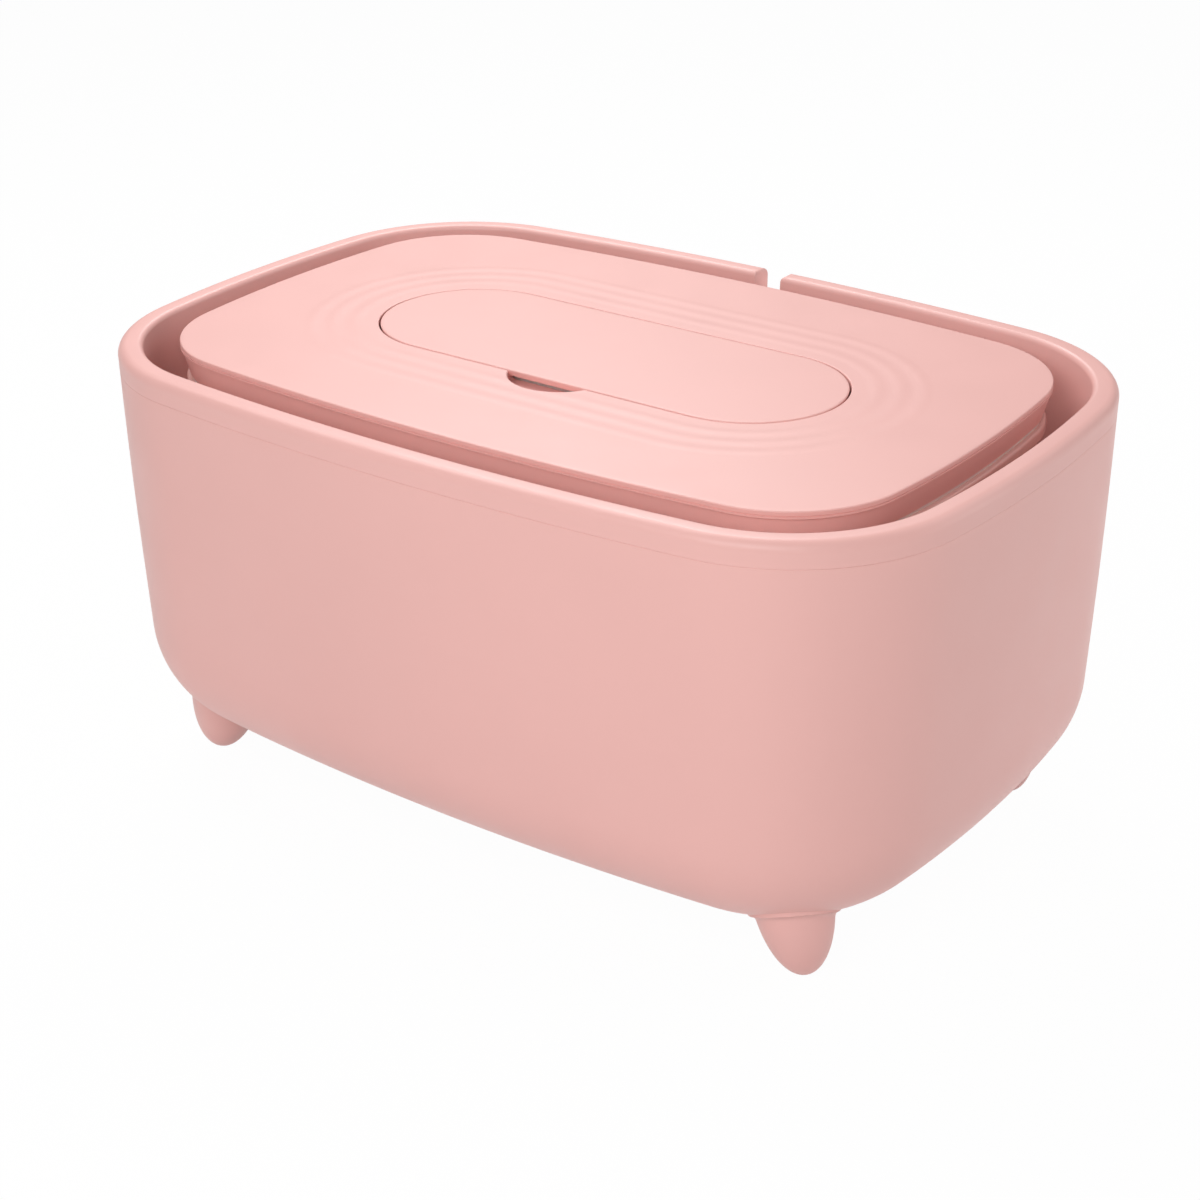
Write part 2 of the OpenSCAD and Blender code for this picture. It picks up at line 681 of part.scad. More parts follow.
module top_cover() {
    color(pink) difference() {
        union() {
            difference() {
                bowl(concat(
                    [[middle_in, cover_z], [lid_inset + 0.2, cover_z], [lid_inset, cover_z + 0.2]],
                    arc([lid_inset + cover_edge_r, lid_z - cover_edge_r], cover_edge_r, 180, 90, 3),
                    [[middle_in, lid_z]]), cover_z, lid_z);
                translate([0, flap_back, 0]) stadium(hole_l, hole_w, cover_z - 1, lid_z + 1);
            }
            at_each(lid_screw_places) rod(lid_boss_r, bay_z, cover_z + eps);
            at_each(frame_screw_places) rod(frame_boss_r, frame_ear_z, cover_z + eps);
            // Cup of the finger scoop
            intersection() {
                translate([0, scoop_y, 0]) rod(scoop_r + scoop_floor_t, scoop_z - scoop_floor_t, cover_z + 0.5);
                block([-30, 30], [-60, scoop_end_y], [0, rim_z]);
            }
        }
        translate([0, scoop_y, 0]) cylinder_cut(scoop_r, scoop_z, lid_z + 1);
        at_each(lid_screw_places) rod(screw_r + pin_fit, bay_z - 1, lid_screw_z + seat_gap);
        at_each(frame_screw_places) rod(small_r + pin_fit, bay_z, frame_screw_z + 0.2);
        // Room for the hinge knuckles under the cover
        for (sx = [-1, 1])
            block([sx*arm_x - box_w/2 - 0.4, sx*arm_x + box_w/2 + 0.4],
                [hinge_y - 6, pocket_back_y + box_t + 0.4], [cover_z - 1, hinge_roof_z]);
    }
}
module cylinder_cut(r, z0, z1) {
    translate([0, 0, z0]) cylinder(r = r, h = z1 - z0, $fn = round_fn);
}

frame_fit = 0.3;
frame_t = 1.6;
frame_in_l = hole_l + 2*frame_fit;
frame_in_w = hole_w + 2*frame_fit;
frame_boss_r = 2.6;
frame_ear_r = frame_boss_r + 1.8;
frame_ear_t = 1.6;
frame_screw_a = 68;
frame_screw_reach = frame_in_w/2 + frame_t + frame_boss_r + 0.8;
frame_screw_places = [for (p = four((hole_l - hole_w)/2 + frame_screw_reach*cos(frame_screw_a),
    frame_screw_reach*sin(frame_screw_a))) p + [0, flap_back]];
frame_ear_z = cover_z - 4.6;
frame_screw_z = cover_z - 0.6;

module dispenser_frame() {
    color(pink) difference() {
        union() {
            translate([0, flap_back, 0])
                stadium(frame_in_l + 2*frame_t, frame_in_w + 2*frame_t, well_under_z, cover_z);
            stadium(tube_l, tube_w, tube_low_z, well_under_z + eps);
            for (sx = [-1, 1])
                block([sx*arm_x - box_w/2, sx*arm_x + box_w/2],
                    [pocket_front_y - box_t, pocket_back_y + box_t], [pocket_z - box_t, cover_z]);
            // Ears that carry the hinge pins
            for (sx = [-1, 1]) for (side = [-1, 1])
                translate([sx*arm_x + side*(pocket_w + ear_t)/2, 0, 0])
                    block([-ear_t/2, ear_t/2], [hinge_y - knuckle_r, hinge_y + knuckle_r],
                        [hinge_z - 2, hinge_z + knuckle_r]);
            at_each(frame_screw_places) rod(frame_ear_r, frame_ear_z - frame_ear_t, frame_ear_z);
        }
        translate([0, flap_back, 0]) stadium(frame_in_l, frame_in_w, well_z, cover_z + 1);
        stadium(throat_l, throat_w, tube_low_z - 1, rim_z);
        for (sx = [-1, 1])
            block([sx*arm_x - pocket_w/2, sx*arm_x + pocket_w/2],
                [pocket_front_y, pocket_back_y], [pocket_z, rim_z]);
        // Room for the scoop's cup
        translate([0, scoop_y, 0])
            cylinder_cut(scoop_r + scoop_floor_t + frame_fit, scoop_z - scoop_floor_t - frame_fit, rim_z);
        for (sx = [-1, 1]) translate([sx*arm_x, hinge_y, hinge_z]) rotate([0, 90, 0])
            cylinder(r = pin_r + pin_fit, h = box_w + 2, center = true, $fn = small_fn);
        at_each(frame_screw_places) rod(small_r + pin_fit, 0, rim_z);
    }
}

module small_screw_up(z, top) {
    rod(small_head_r, z - 1.3, z);
    rod(small_r, z - eps, top);
}
module frame_screws() {
    color(steel) at_each(frame_screw_places) small_screw_up(frame_ear_z - frame_ear_t, frame_screw_z);
}
module lid_screws() {
    color(steel) at_each(lid_screw_places) screw_up(tray_z, lid_screw_z);
}

seal_ledge = 3.4;
module dispenser_seal() {
    color(rubber) difference() {
        stadium(throat_l + 2*seal_ledge, throat_w + 2*seal_ledge, well_z, well_z + soft_t);
        stadium(slit_l, slit_w, well_z - 1, well_z + soft_t + 1);
    }
}

// The flap's seal ring stands outside the soft seal
ring_l = throat_l + 2*seal_ledge + 7.4;
ring_w = throat_w + 2*seal_ledge + 7.4;
ring_t = 2;
ring_rib_z = cover_z - 0.9;

module arm_section() {
    polygon(concat(
        arc([0, 0], arm_out_r, 180, 282, 12),
        arc([0, 0], arm_in_r, 282, 180, 12)));
    polygon([[-0.4, -arm_in_r - 0.6], [1.5, -arm_in_r - 0.6], [1.3, -0.6], [-0.4, -0.6]]);
    polygon([[-arm_out_r, -0.2], [-arm_in_r, -0.2],
        [-arm_in_r, hinge_depth - flap_t + 0.3], [-arm_out_r, hinge_depth - flap_t + 0.3]]);
}

module flap() {
    color(pink) difference() {
        union() {
            translate([0, flap_back, 0]) {
                stadium_sweep(flap_l, flap_w, [[flap_w/2, lid_z], [0.25, lid_z], [0, lid_z - 0.25],
                    [0.08, lid_z - 0.7], [flap_side, lid_z - flap_t], [flap_w/2, lid_z - flap_t]]);
                stadium_wall(ring_l, ring_w, ring_t, ring_rib_z, lid_z - flap_t + eps);
            }
            for (sx = [-1, 1]) translate([sx*arm_x - arm_w/2, hinge_y, hinge_z]) {
                rotate([90, 0, 90]) linear_extrude(arm_w) arm_section();
                rotate([0, 90, 0]) cylinder(r = knuckle_r, h = arm_w, $fn = small_fn);
            }
        }
        for (sx = [-1, 1]) translate([sx*arm_x, hinge_y, hinge_z]) rotate([0, 90, 0])
            cylinder(r = pin_r + pin_fit, h = arm_w + 2, center = true, $fn = small_fn);
    }
}

module flap_seal() {
    color(rubber) translate([0, flap_back, 0])
        stadium_wall(ring_l, ring_w, ring_t, well_z + seat_gap, ring_rib_z);
}

module hinge_pins() {
    color(steel) for (sx = [-1, 1]) translate([sx*arm_x, hinge_y, hinge_z]) rotate([0, 90, 0])
        cylinder(r = pin_r, h = box_w, center = true, $fn = small_fn);
}

// ---- Heater ----

stack_in = tray_in + seat_gap;

module stack_layer(inset, z0, z1, boss_gap) {
    difference() {
        slab(inset, z0, z1);
        stadium(stack_l, stack_w, z0 - 1, z1 + 1);
        if (boss_gap > 0) at_each(plate_screw_places) rod(plate_boss_r + boss_gap, 0, rim_z);
    }
}

module lid_insulation() {
    color([0.9, 0.87, 0.8]) difference() {
        stack_layer(stack_in, film_z, tray_z, seat_gap);
        at_each(lid_screw_places) rod(head_r + 0.5, 0, rim_z);
        for (p = [[film_x, 3], [thermistor_x, thermistor_l/2 + 1], [fuse_x, fuse_l/2 + 0.5]])
            translate([p.x, riser_y, 0]) block([-p.y, p.y], [-2.2, 2.2], [0, rim_z]);
    }
}
module heating_film() {
    color(amber) stack_layer(stack_in + 2, plate_z, film_z, seat_gap);
}
module heater_plate() {
    color(alloy) difference() {
        stack_layer(stack_in, lid_under_z, plate_z, 0);
        at_each(plate_screw_places) {
            rod(small_r + pin_fit, 0, rim_z);
            translate([0, 0, lid_under_z - eps])
                cylinder(r1 = small_head_r + 0.1, r2 = small_r + pin_fit, h = countersink_h, $fn = small_fn);
        }
    }
}
countersink_h = 1.1;
module plate_screws() {
    color(steel) at_each(plate_screw_places) {
        translate([0, 0, lid_under_z])
            cylinder(r1 = small_head_r, r2 = small_r, h = countersink_h, $fn = small_fn);
        rod(small_r, lid_under_z + countersink_h - eps, plate_screw_z - 0.3);
    }
}

thermistor_r = 1.2;
thermistor_l = 5;
fuse_r = 1.6;
fuse_l = 8.6;
module lying(r, l, x) {
    translate([x, riser_y, film_z + r]) rotate([0, 90, 0])
        cylinder(r = r, h = l, center = true, $fn = small_fn);
}
module thermistor() {
    color(dark) lying(thermistor_r, thermistor_l, thermistor_x);
}
module thermal_fuse() {
    color(steel) lying(fuse_r, fuse_l, fuse_x);
}

// ---- Electronics ----

board_top_z = board_z + board_t;
plug_half = 2.8;
plug_edge = 0.6;
plug_y = [-board_w/2 + plug_edge, -board_w/2 + plug_edge + 6];
plug_h = 5;
lead_z = board_top_z + plug_h/2;
power_plug_x = [board_x + 5.5, board_x + 12.5];
power_plug_y = [board_w/2 - 8 - plug_edge, board_w/2 - plug_edge];
// Controller, regulator, coil and capacitor: centres and sizes on the board
chip_at = [board_x + 16, -2];
chip_size = [8, 8, 1.2];
regulator_at = [board_x + 17, -11.25];
regulator_size = [6, 4.5, 2.3];
capacitor_at = [board_x + 23, 6];
capacitor_r = 2.5;
capacitor_h = 5;
coil_at = [board_x + 9, -9];
coil_r = 3;
coil_h = 3.5;
power_lead_x = (power_plug_x[0] + power_plug_x[1])/2;
power_lead_gap = 0.9;
power_plug_z = gland_z + power_lead_gap + lead_r + 0.4;
lead_turn_r = 2.2;
power_turn_r = 4;
power_run_y = lid_screw_places[3].y + lid_boss_r + 5;
power_start_y = gland_in_y - 2;

module control_board() {
    color(board_green) difference() {
        block([board_x, board_x + board_l], [-board_w/2, board_w/2], [board_z, board_top_z]);
        at_each(board_post_places) rod(small_r + pin_fit, 0, rim_z);
    }
}

// A package of that size on the board
module chip(at, size) {
    translate([at.x - size.x/2, at.y - size.y/2, board_top_z]) cube(size);
}

module board_parts() {
    color(dark) {
        for (x = [film_x, thermistor_x, fuse_x])
            block([x - plug_half, x + plug_half], plug_y, [board_top_z, board_top_z + plug_h]);
        block(power_plug_x, power_plug_y, [board_top_z, power_plug_z]);
        chip(chip_at, chip_size);
        chip(regulator_at, regulator_size);
        at_each([capacitor_at]) rod(capacitor_r, board_top_z, board_top_z + capacitor_h);
        at_each([coil_at]) rod(coil_r, board_top_z, board_top_z + coil_h);
    }
}

module board_screws() {
    color(steel) at_each(board_post_places) {
        rod(small_head_r, board_top_z, board_top_z + 1.3);
        rod(small_r, bay_z + 1, board_top_z + eps);
    }
}

// A lead that rises at x and turns into a plug on the board
module riser(x, z0) {
    translate([x, riser_y, 0]) {
        rod(lead_r, z0, lead_z - lead_turn_r);
        translate([0, lead_turn_r, lead_z - lead_turn_r]) rotate([90, 0, -90])
            rotate_extrude(angle = 90, $fn = small_fn) translate([lead_turn_r, 0])
                circle(r = lead_r, $fn = small_fn);
        translate([0, plug_y[0] - riser_y, lead_z]) rotate([90, 0, 0])
            cylinder(r = lead_r, h = plug_y[0] - riser_y - lead_turn_r, $fn = small_fn);
    }
}
module heater_leads() {
    color(lead_red) {
        for (x = film_lead_x) riser(x, film_z);
        for (x = fuse_lead_x) riser(x, film_z + 2*fuse_r);
    }
}
module sensor_leads() {
    color(dark) for (x = thermistor_lead_x) riser(x, film_z + 2*thermistor_r);
}

// Two leads from the gland along the back of the lid and forward into the power plug
module power_leads() {
    color(lead_red) for (s = [-1, 1]) translate([0, 0, gland_z + s*power_lead_gap]) {
        turn = power_turn_r;
        translate([0, power_start_y, 0]) rotate([90, 0, 0])
            cylinder(r = lead_r, h = power_start_y - power_run_y - turn, $fn = small_fn);
        translate([turn, power_run_y + turn, 0]) rotate([0, 0, 180])
            rotate_extrude(angle = 90, $fn = small_fn) translate([turn, 0]) circle(r = lead_r, $fn = small_fn);
        translate([turn, power_run_y, 0]) rotate([0, 90, 0])
            cylinder(r = lead_r, h = power_lead_x - 2*turn, $fn = small_fn);
        translate([power_lead_x - turn, power_run_y - turn, 0])
            rotate_extrude(angle = 90, $fn = small_fn) translate([turn, 0]) circle(r = lead_r, $fn = small_fn);
        translate([power_lead_x, power_run_y - turn, 0]) rotate([90, 0, 0])
            cylinder(r = lead_r, h = power_run_y - turn - power_plug_y[1], $fn = small_fn);
    }
}

module cord_gland() {
    color(dark) difference() {
        union() {
            along_y(gland_r, gland_in_y, gland_y + gland_flange_t);
            along_y(gland_flange_r, gland_y, gland_y + gland_flange_t);
            along_y(gland_flange_r, gland_in_y, gland_in_y + gland_flange_t);
        }
        along_y(gland_bore_r, gland_in_y - 1, gland_y + gland_flange_t + 1);
    }
}

outer_shell();
inner_tub();
insulation_sleeve();
insulation_base();
foot(-1, -1);  // foot_front_left
foot(1, -1);  // foot_front_right
foot(-1, 1);  // foot_back_left
foot(1, 1);  // foot_back_right
foot_screws();
tub_screws();
wipes_bin();
lid_gasket();
lid_housing();
top_cover();
dispenser_frame();
dispenser_seal();
frame_screws();
lid_screws();
heater_plate();
heating_film();
lid_insulation();
plate_screws();
thermistor();
thermal_fuse();
control_board();
board_parts();
board_screws();
heater_leads();
sensor_leads();
power_leads();
cord_gland();
flap();
flap_seal();
hinge_pins();
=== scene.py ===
import json
import math

import bmesh
import bpy
import numpy as np
from mathutils import Matrix, Vector


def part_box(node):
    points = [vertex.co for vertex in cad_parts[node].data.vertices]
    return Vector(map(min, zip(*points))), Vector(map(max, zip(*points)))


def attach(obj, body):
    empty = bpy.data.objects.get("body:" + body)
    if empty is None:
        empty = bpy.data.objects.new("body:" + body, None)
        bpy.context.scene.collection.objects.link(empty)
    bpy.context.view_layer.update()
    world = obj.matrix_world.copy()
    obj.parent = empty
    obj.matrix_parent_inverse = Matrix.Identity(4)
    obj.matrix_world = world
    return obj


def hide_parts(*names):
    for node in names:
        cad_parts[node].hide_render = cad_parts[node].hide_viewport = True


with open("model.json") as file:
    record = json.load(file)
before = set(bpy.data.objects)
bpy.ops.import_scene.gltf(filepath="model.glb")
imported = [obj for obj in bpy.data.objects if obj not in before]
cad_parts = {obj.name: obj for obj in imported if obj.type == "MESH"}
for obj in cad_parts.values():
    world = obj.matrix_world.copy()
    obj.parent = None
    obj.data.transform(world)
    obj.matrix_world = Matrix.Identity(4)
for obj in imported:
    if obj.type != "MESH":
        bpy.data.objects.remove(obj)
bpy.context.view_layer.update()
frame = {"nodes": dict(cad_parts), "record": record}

MM = 0.001

# ---- Heights in millimetres, from the frame's own nodes ----


def low(node):
    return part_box(node)[0] / MM


def high(node):
    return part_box(node)[1] / MM


BASE_Z = low("outer_shell").z
PART_Z = high("outer_shell").z
RIM_Z = high("inner_tub").z
COVER_Z = high("lid_housing").z
LID_Z = high("top_cover").z
BIN_LOW_Z, BIN_TOP_Z = low("wipes_bin").z, high("wipes_bin").z
PIN_MID = (low("hinge_pins") + high("hinge_pins")) / 2

# ---- Sizes in millimetres ----

# Outline of the tub: four bowed sides and four round corners, all arcs
TUB_L = 240.0
TUB_W = 162.6
CORNER_R = 46.0
LONG_BOW = 9.6
SHORT_BOW = 10.0
# Draws the sides in, to keep the dressed part inside the box of the solids
HAIR = 0.03
# Where a section swept round the outline starts and ends, and is closed across the middle
MIDDLE_IN = CORNER_R - 1

# Outer shell of the tub
TUB_DRAFT = 2.7 / 104.9
BASE_R = 28.7
SHELL_T = 2.2
WALL_BULGE = 0.35
# Edge radius on both sides of the faint parting line below the rim
SEAM_R = 0.12
SCREW_X = 46.0
SCREW_Y = 24.0
SCREW_POCKET_R = 3.3
SCREW_POCKET_H = 3.2
SCREW_PAD_W = 2.7
SCREW_PAD_T = 2.0

# Inner tub, its rim and the tongue that locates the shell
INNER_T = 2.0
RIM_W = 6.4
RIM_OUT_R = 2.5
RIM_IN_R = 1.5
RIM_EXTRA_T = 0.6
INNER_SLOPE = 5.6 / 104.9
INNER_FLOOR_R = 22.0
FLOOR_GAP = 8.0
TONGUE_CLEAR = 0.15
TONGUE_T = 1.0
TONGUE_H = 5.0
PLINTH_H = 2.0
PLINTH_CLEAR = 0.3
PLINTH_EDGE = 0.4

# Cord slot in the back rim, and the lining between the walls
SLOT_W = 8.0
SLOT_DEPTH = 10.0
SLOT_WALL = 1.6
SLOT_EDGE_R = 1.0
LINING_DEPTH = 9.0
LINING_STEP = 0.1
CORE_DEPTH = 12.0

# Wipes bin
BIN_INSET = 16.6
BIN_LIP_W = 1.6
BIN_LIP_H = 3.0
BIN_LIP_CHAMFER = 0.25
BIN_LIP_OUT_R = 0.7
BIN_LIP_IN_R = 0.3
BIN_T = 1.8
BIN_SLOPE = 0.0245
BIN_FLOOR_R = 18.0
BIN_FOOT_W = 2.4
BIN_FOOT_H = 1.7
GASKET_CLEAR = 0.03

# Cover of the lid. The groove in its side has a top and a low edge below the lid's top, and a depth
LID_INSET = 15.55
LID_EDGE_R = 0.35
LID_LOW_R = 0.25
LID_GROOVE = (1.15, 1.5, 0.25)
GROOVE_DRAFT = 0.05
HOLE_EDGE_R = 0.25
SCOOP_R = 12.8
SCOOP_REACH = 7.1
SCOOP_DEPTH = 3.35
SCOOP_T = 1.2
SCOOP_CHAMFER = 0.6
SCOOP_UNDER_FLAP = 2.6
# Half the width, and the front, of the block that keeps the front part of the scoop's cup
CUP_BLOCK = (30, -60)

# Three faint ridges round the flap
RIPPLE_CRESTS = (6.4, 12.0, 17.5)
RIPPLE_HALF = 2.7
RIPPLE_H = 0.07
# The loops that follow the ridges: their spacing, and where they stop, outside the flap's seam
RIPPLE_STEP = 0.35
RIPPLE_END = 0.45

# Flap: plate, ring for its seal, curved arms and knuckles
FLAP_L = 131.6
FLAP_W = 48.2
FLAP_T = 1.6
FLAP_Y = 0.6
# Gap all round the flap
SEAM = 0.45
FLAP_EDGE_R = 0.35
FLAP_SIDE = 0.35
# Inset and depth of the place where the side starts to taper in
FLAP_WAIST = (0.08, 0.7)
# Where the plate's section starts and ends, and is closed across the middle
FLAP_MIDDLE_IN = FLAP_W / 2 - 4
RING_T = 2.0
ARM_X = 28.0
ARM_W = 5.0
ARM_T = 1.8
ARM_CLEAR = 0.3
ARM_END = 282
HINGE_BACK = 5.0
HINGE_DEPTH = 3.0
KNUCKLE_R = 1.7
PIN_HOLE_R = 0.95
# Web between an arm and its knuckle: two sides, its top, and how far it runs into the arm
WEB_BACK = -0.4
WEB_FRONT = (1.5, 1.3)
WEB_TOP = -0.6
WEB_ROOT = 0.6

# Each foot is the lower half of a long ellipsoid that leans out along X
FOOT_OUT = (18.25, 19.4)
FOOT_R = 9.7
FOOT_ROUND_L = 22.3
FOOT_LEAN_OUT = 3.35
FOOT_FLAT = 0.35
FOOT_ROOT_UP = 2.5
FOOT_FILLET = 1.4
# Above its widest place a foot goes on straight into the tub, in steps of this height
FOOT_STEP = 1.2
# A block under the floor's level that cuts the foot's flat
GROUND_HALF = 20

# Loops beside a rounded edge keep the shading of the face beyond it even
FLOOR_LOOP = 3.0
WALL_LOOP = 4.0
SEAM_LOOP = 0.7
RIM_LOOP = 0.6
COVER_LOOP = 1.2
COVER_LOW_LOOP = 1.5
PLATE_LOOP = 0.4

# Overlap of shapes that are joined, and how far a cutting shape reaches past what it cuts
WELD = 0.3
RING_WELD = 0.2
CUP_WELD = 0.5
CUT_PAST = 1
SLOT_PAST_IN = 4
SLOT_PAST_OUT = 2
SLOT_PAST_TOP = 10.0

# Edges sharper than this angle, in degrees, aren't shaded smooth
SHARP_ANGLE = 38

# ---- Curves ----


def arc(centre, r, a0, a1, n):
    """n + 1 points on a circle, from angle a0 to a1 in degrees."""
    a = np.radians(np.linspace(a0, a1, n + 1))
    return np.stack([centre[0] + r * np.cos(a), centre[1] + r * np.sin(a)], 1)


def circle(r, n):
    """n points right round a circle about the origin."""
    return arc((0, 0), r, 0, 360, n)[:-1]


def outline_centres():
    """Radii, centres and angles of the arcs that make up the first quarter of the outline."""
    half_l, half_w = TUB_L / 2, TUB_W / 2
    long_r = (half_l**2 + LONG_BOW**2) / (2 * LONG_BOW)
    short_r = (half_w**2 + SHORT_BOW**2) / (2 * SHORT_BOW)
    long_c = np.array([0, half_w - long_r])
    short_c = np.array([half_l - short_r, 0])
    reach_l, reach_s = long_r - CORNER_R, short_r - CORNER_R
    gap = np.linalg.norm(short_c - long_c)
    u = (short_c - long_c) / gap
    along = (reach_l**2 - reach_s**2 + gap**2) / (2 * gap)
    across = math.sqrt(reach_l**2 - along**2)
    corner_c = long_c + along * u + across * np.array([u[1], -u[0]])
    long_a = math.degrees(math.asin(corner_c[0] / reach_l))
    short_a = math.degrees(math.asin(corner_c[1] / reach_s))
    return long_r, short_r, long_c, short_c, corner_c, long_a, short_a


LONG_R, SHORT_R, LONG_C, SHORT_C, CORNER_C, LONG_A, SHORT_A = outline_centres()

# Segments of half a side and of a corner
SIDE_N = 18
CORNER_N = 40


def all_round(quarter):
    """A closed line from its first quarter, which runs from the +X axis to the +Y axis."""
    left = quarter[::-1] * [-1, 1]
    top = np.concatenate([quarter[:-1], left[:-1]])
    return np.concatenate([top, -top])


def outline(d):
    """The tub's outline at inset d, counterclockwise from the +X axis."""
    d = d + HAIR
    return all_round(np.concatenate([
        arc(SHORT_C, SHORT_R - d, 0, SHORT_A, SIDE_N)[:-1],
        arc(CORNER_C, CORNER_R - d, SHORT_A, 90 - LONG_A, CORNER_N)[:-1],
        arc(LONG_C, LONG_R - d, 90 - LONG_A, 90, SIDE_N)]))


def stadium(length, width, grow=0.0):
    """A stadium about the flap's middle, with as many points as outline() and in step with them."""
    straight = (length - width) / 2
    r = width / 2 + grow
    line = np.linspace(straight, 0, SIDE_N + 1)
    quarter = np.concatenate([
        arc((straight, 0), r, 0, 90, SIDE_N + CORNER_N)[:-1],
        np.stack([line, np.full(SIDE_N + 1, r)], 1)])
    return all_round(quarter) + [0, FLAP_Y]


def edge_centre(wall_in, slope, r, z):
    """Centre of a floor edge of radius r between a floor at z and a wall of that slope."""
    return (wall_in + r * math.sqrt(1 + slope**2), z + r)


def floor_edge(centre, r, slope, n=14):
    """A floor edge from the wall down to the floor."""
    return arc(centre, r, 180 + math.degrees(math.atan(slope)), 270, n)


def outer_in(z):
    """Inset of the tub's outer wall at a height, without its crown."""
    return TUB_DRAFT * (RIM_Z - z)


def outer_wall(z):
    """Inset of the tub's outer wall at a height, with its slight crown."""
    low_z = BASE_Z + BASE_R
    t = (z - low_z) / (RIM_Z - low_z)
    return outer_in(z) - WALL_BULGE * math.sin(math.pi * min(1.0, max(0.0, t)))


def inner_in(z):
    """Inset of the inner tub's inside at a height."""
    return RIM_W + INNER_SLOPE * (RIM_Z - z)


def bin_in(z):
    """Inset of the bin's outer wall at a height."""
    return BIN_INSET + BIN_LIP_W + BIN_SLOPE * (BIN_TOP_Z - z)


SHELL_CENTRE = edge_centre(outer_in(BASE_Z + BASE_R), TUB_DRAFT, BASE_R, BASE_Z)
BIN_CENTRE = edge_centre(bin_in(BIN_LOW_Z + BIN_FLOOR_R), BIN_SLOPE, BIN_FLOOR_R, BIN_LOW_Z)
BIN_FOOT_IN = BIN_CENTRE[0] + BIN_FOOT_W

# ---- Meshes ----


def mesh_object(name, points, faces):
    """A mesh from points in millimetres, with its faces turned outwards."""
    me = bpy.data.meshes.new(name)
    me.from_pydata((np.asarray(points) * MM).tolist(), [], faces)
    bm = bmesh.new()
    bm.from_mesh(me)
    bmesh.ops.recalc_face_normals(bm, faces=bm.faces)
    bm.to_mesh(me)
    bm.free()
    me.shade_smooth()
    me.set_sharp_from_angle(angle=math.radians(SHARP_ANGLE))
    obj = bpy.data.objects.new(name, me)
    bpy.context.scene.collection.objects.link(obj)
    return obj


def loft(name, loops, ring=False):
    """Quads between closed loops of equal length. A ring joins the last loop to the first."""
    n = len(loops[0])
    points = np.concatenate(loops)
    count = len(loops)
    faces = []
    for i in range(count if ring else count - 1):
        a, b = i * n, (i + 1) % count * n
        faces += [(a + k, a + (k + 1) % n, b + (k + 1) % n, b + k) for k in range(n)]
    if not ring:
        faces.append(tuple(range(n))[::-1])
        faces.append(tuple(range((count - 1) * n, count * n)))
    return mesh_object(name, points, faces)


def at_height(loop, z):
    return np.column_stack([loop, np.broadcast_to(z, len(loop))])


def bowl(name, section):
    """A section of [inset, height] points swept round the outline, closed across the middle."""
    return loft(name, [at_height(outline(d), z) for d, z in section])


def lathe(name, section, x=0.0, y=0.0):
    """A section of [radius, height] points, turned round an upright axis at x, y."""
    a = np.linspace(0, 2 * math.pi, 96, endpoint=False)
    turn = np.stack([np.cos(a), np.sin(a)], 1)
    obj = loft(name, [at_height(r * turn, z) for r, z in section])
    obj.data.transform(Matrix.Translation((x * MM, y * MM, 0)))
    return obj


def brick(name, x, y, z):
    corners = np.array([(x[0], y[0]), (x[1], y[0]), (x[1], y[1]), (x[0], y[1])])
    return loft(name, [at_height(corners, z[0]), at_height(corners, z[1])])


def along_x(name, profile, x0, x1):
    """A prism along X from a closed line of [y, z] points about the hinge's axis."""
    y, z = PIN_MID.y + profile[:, 0], PIN_MID.z + profile[:, 1]
    return loft(name, [np.column_stack([np.full(len(profile), x), y, z]) for x in (x0, x1)])


def combine(obj, tool, operation):
    """Cuts, joins or intersects obj with the tool, which goes away."""
    step = obj.modifiers.new("shape", "BOOLEAN")
    step.operation = operation
    step.object = tool
    step.solver = "MANIFOLD"
    depsgraph = bpy.context.evaluated_depsgraph_get()
    me = bpy.data.meshes.new_from_object(obj.evaluated_get(depsgraph))
    obj.modifiers.clear()
    obj.data = me
    bpy.data.objects.remove(tool)
    obj.data.set_sharp_from_angle(angle=math.radians(SHARP_ANGLE))


# ---- Materials ----

# The part of a noise texture's range that holds nearly all its values
NOISE_SPAN = (0.3, 0.7)
# Moulded pieces: how fine the drifts of colour and of gloss are, and how far the gloss goes
COLOUR_DRIFT = 14.0
GLOSS_DRIFT = 60.0
GLOSS_SPREAD = 0.04


def node_at(tree, kind, **values):
    node = tree.nodes.new(kind)
    for key, value in values.items():
        setattr(node, key, value)
    return node


def new_material(name, roughness, **sockets):
    """A material with a Principled shader, its tree and the shader."""
    mat = bpy.data.materials.new(name)
    mat.use_nodes = True
    tree = mat.node_tree
    shader = tree.nodes["Principled BSDF"]
    shader.inputs["Roughness"].default_value = roughness
    for key, value in sockets.items():
        shader.inputs[key.replace("_", " ")].default_value = value
    return mat, tree, shader


def noise(tree, scale, detail=2.0, stretch=(1, 1, 1)):
    """A noise texture in object space, per metre, drawn out by stretch."""
    coords = node_at(tree, "ShaderNodeTexCoord")
    mapping = node_at(tree, "ShaderNodeMapping")
    mapping.inputs["Scale"].default_value = stretch
    texture = node_at(tree, "ShaderNodeTexNoise")
    texture.inputs["Scale"].default_value = scale
    texture.inputs["Detail"].default_value = detail
    tree.links.new(coords.outputs["Object"], mapping.inputs["Vector"])
    tree.links.new(mapping.outputs["Vector"], texture.inputs["Vector"])
    return texture.outputs["Fac"]


def vary_colour(tree, shader, fac, dark, light):
    """The base colour runs from dark to light with fac."""
    ramp = node_at(tree, "ShaderNodeValToRGB")
    for stop, place_at, colour in zip(ramp.color_ramp.elements, NOISE_SPAN, (dark, light)):
        stop.position = place_at
        stop.color = (*colour, 1)
    tree.links.new(fac, ramp.inputs["Fac"])
    tree.links.new(ramp.outputs["Color"], shader.inputs["Base Color"])


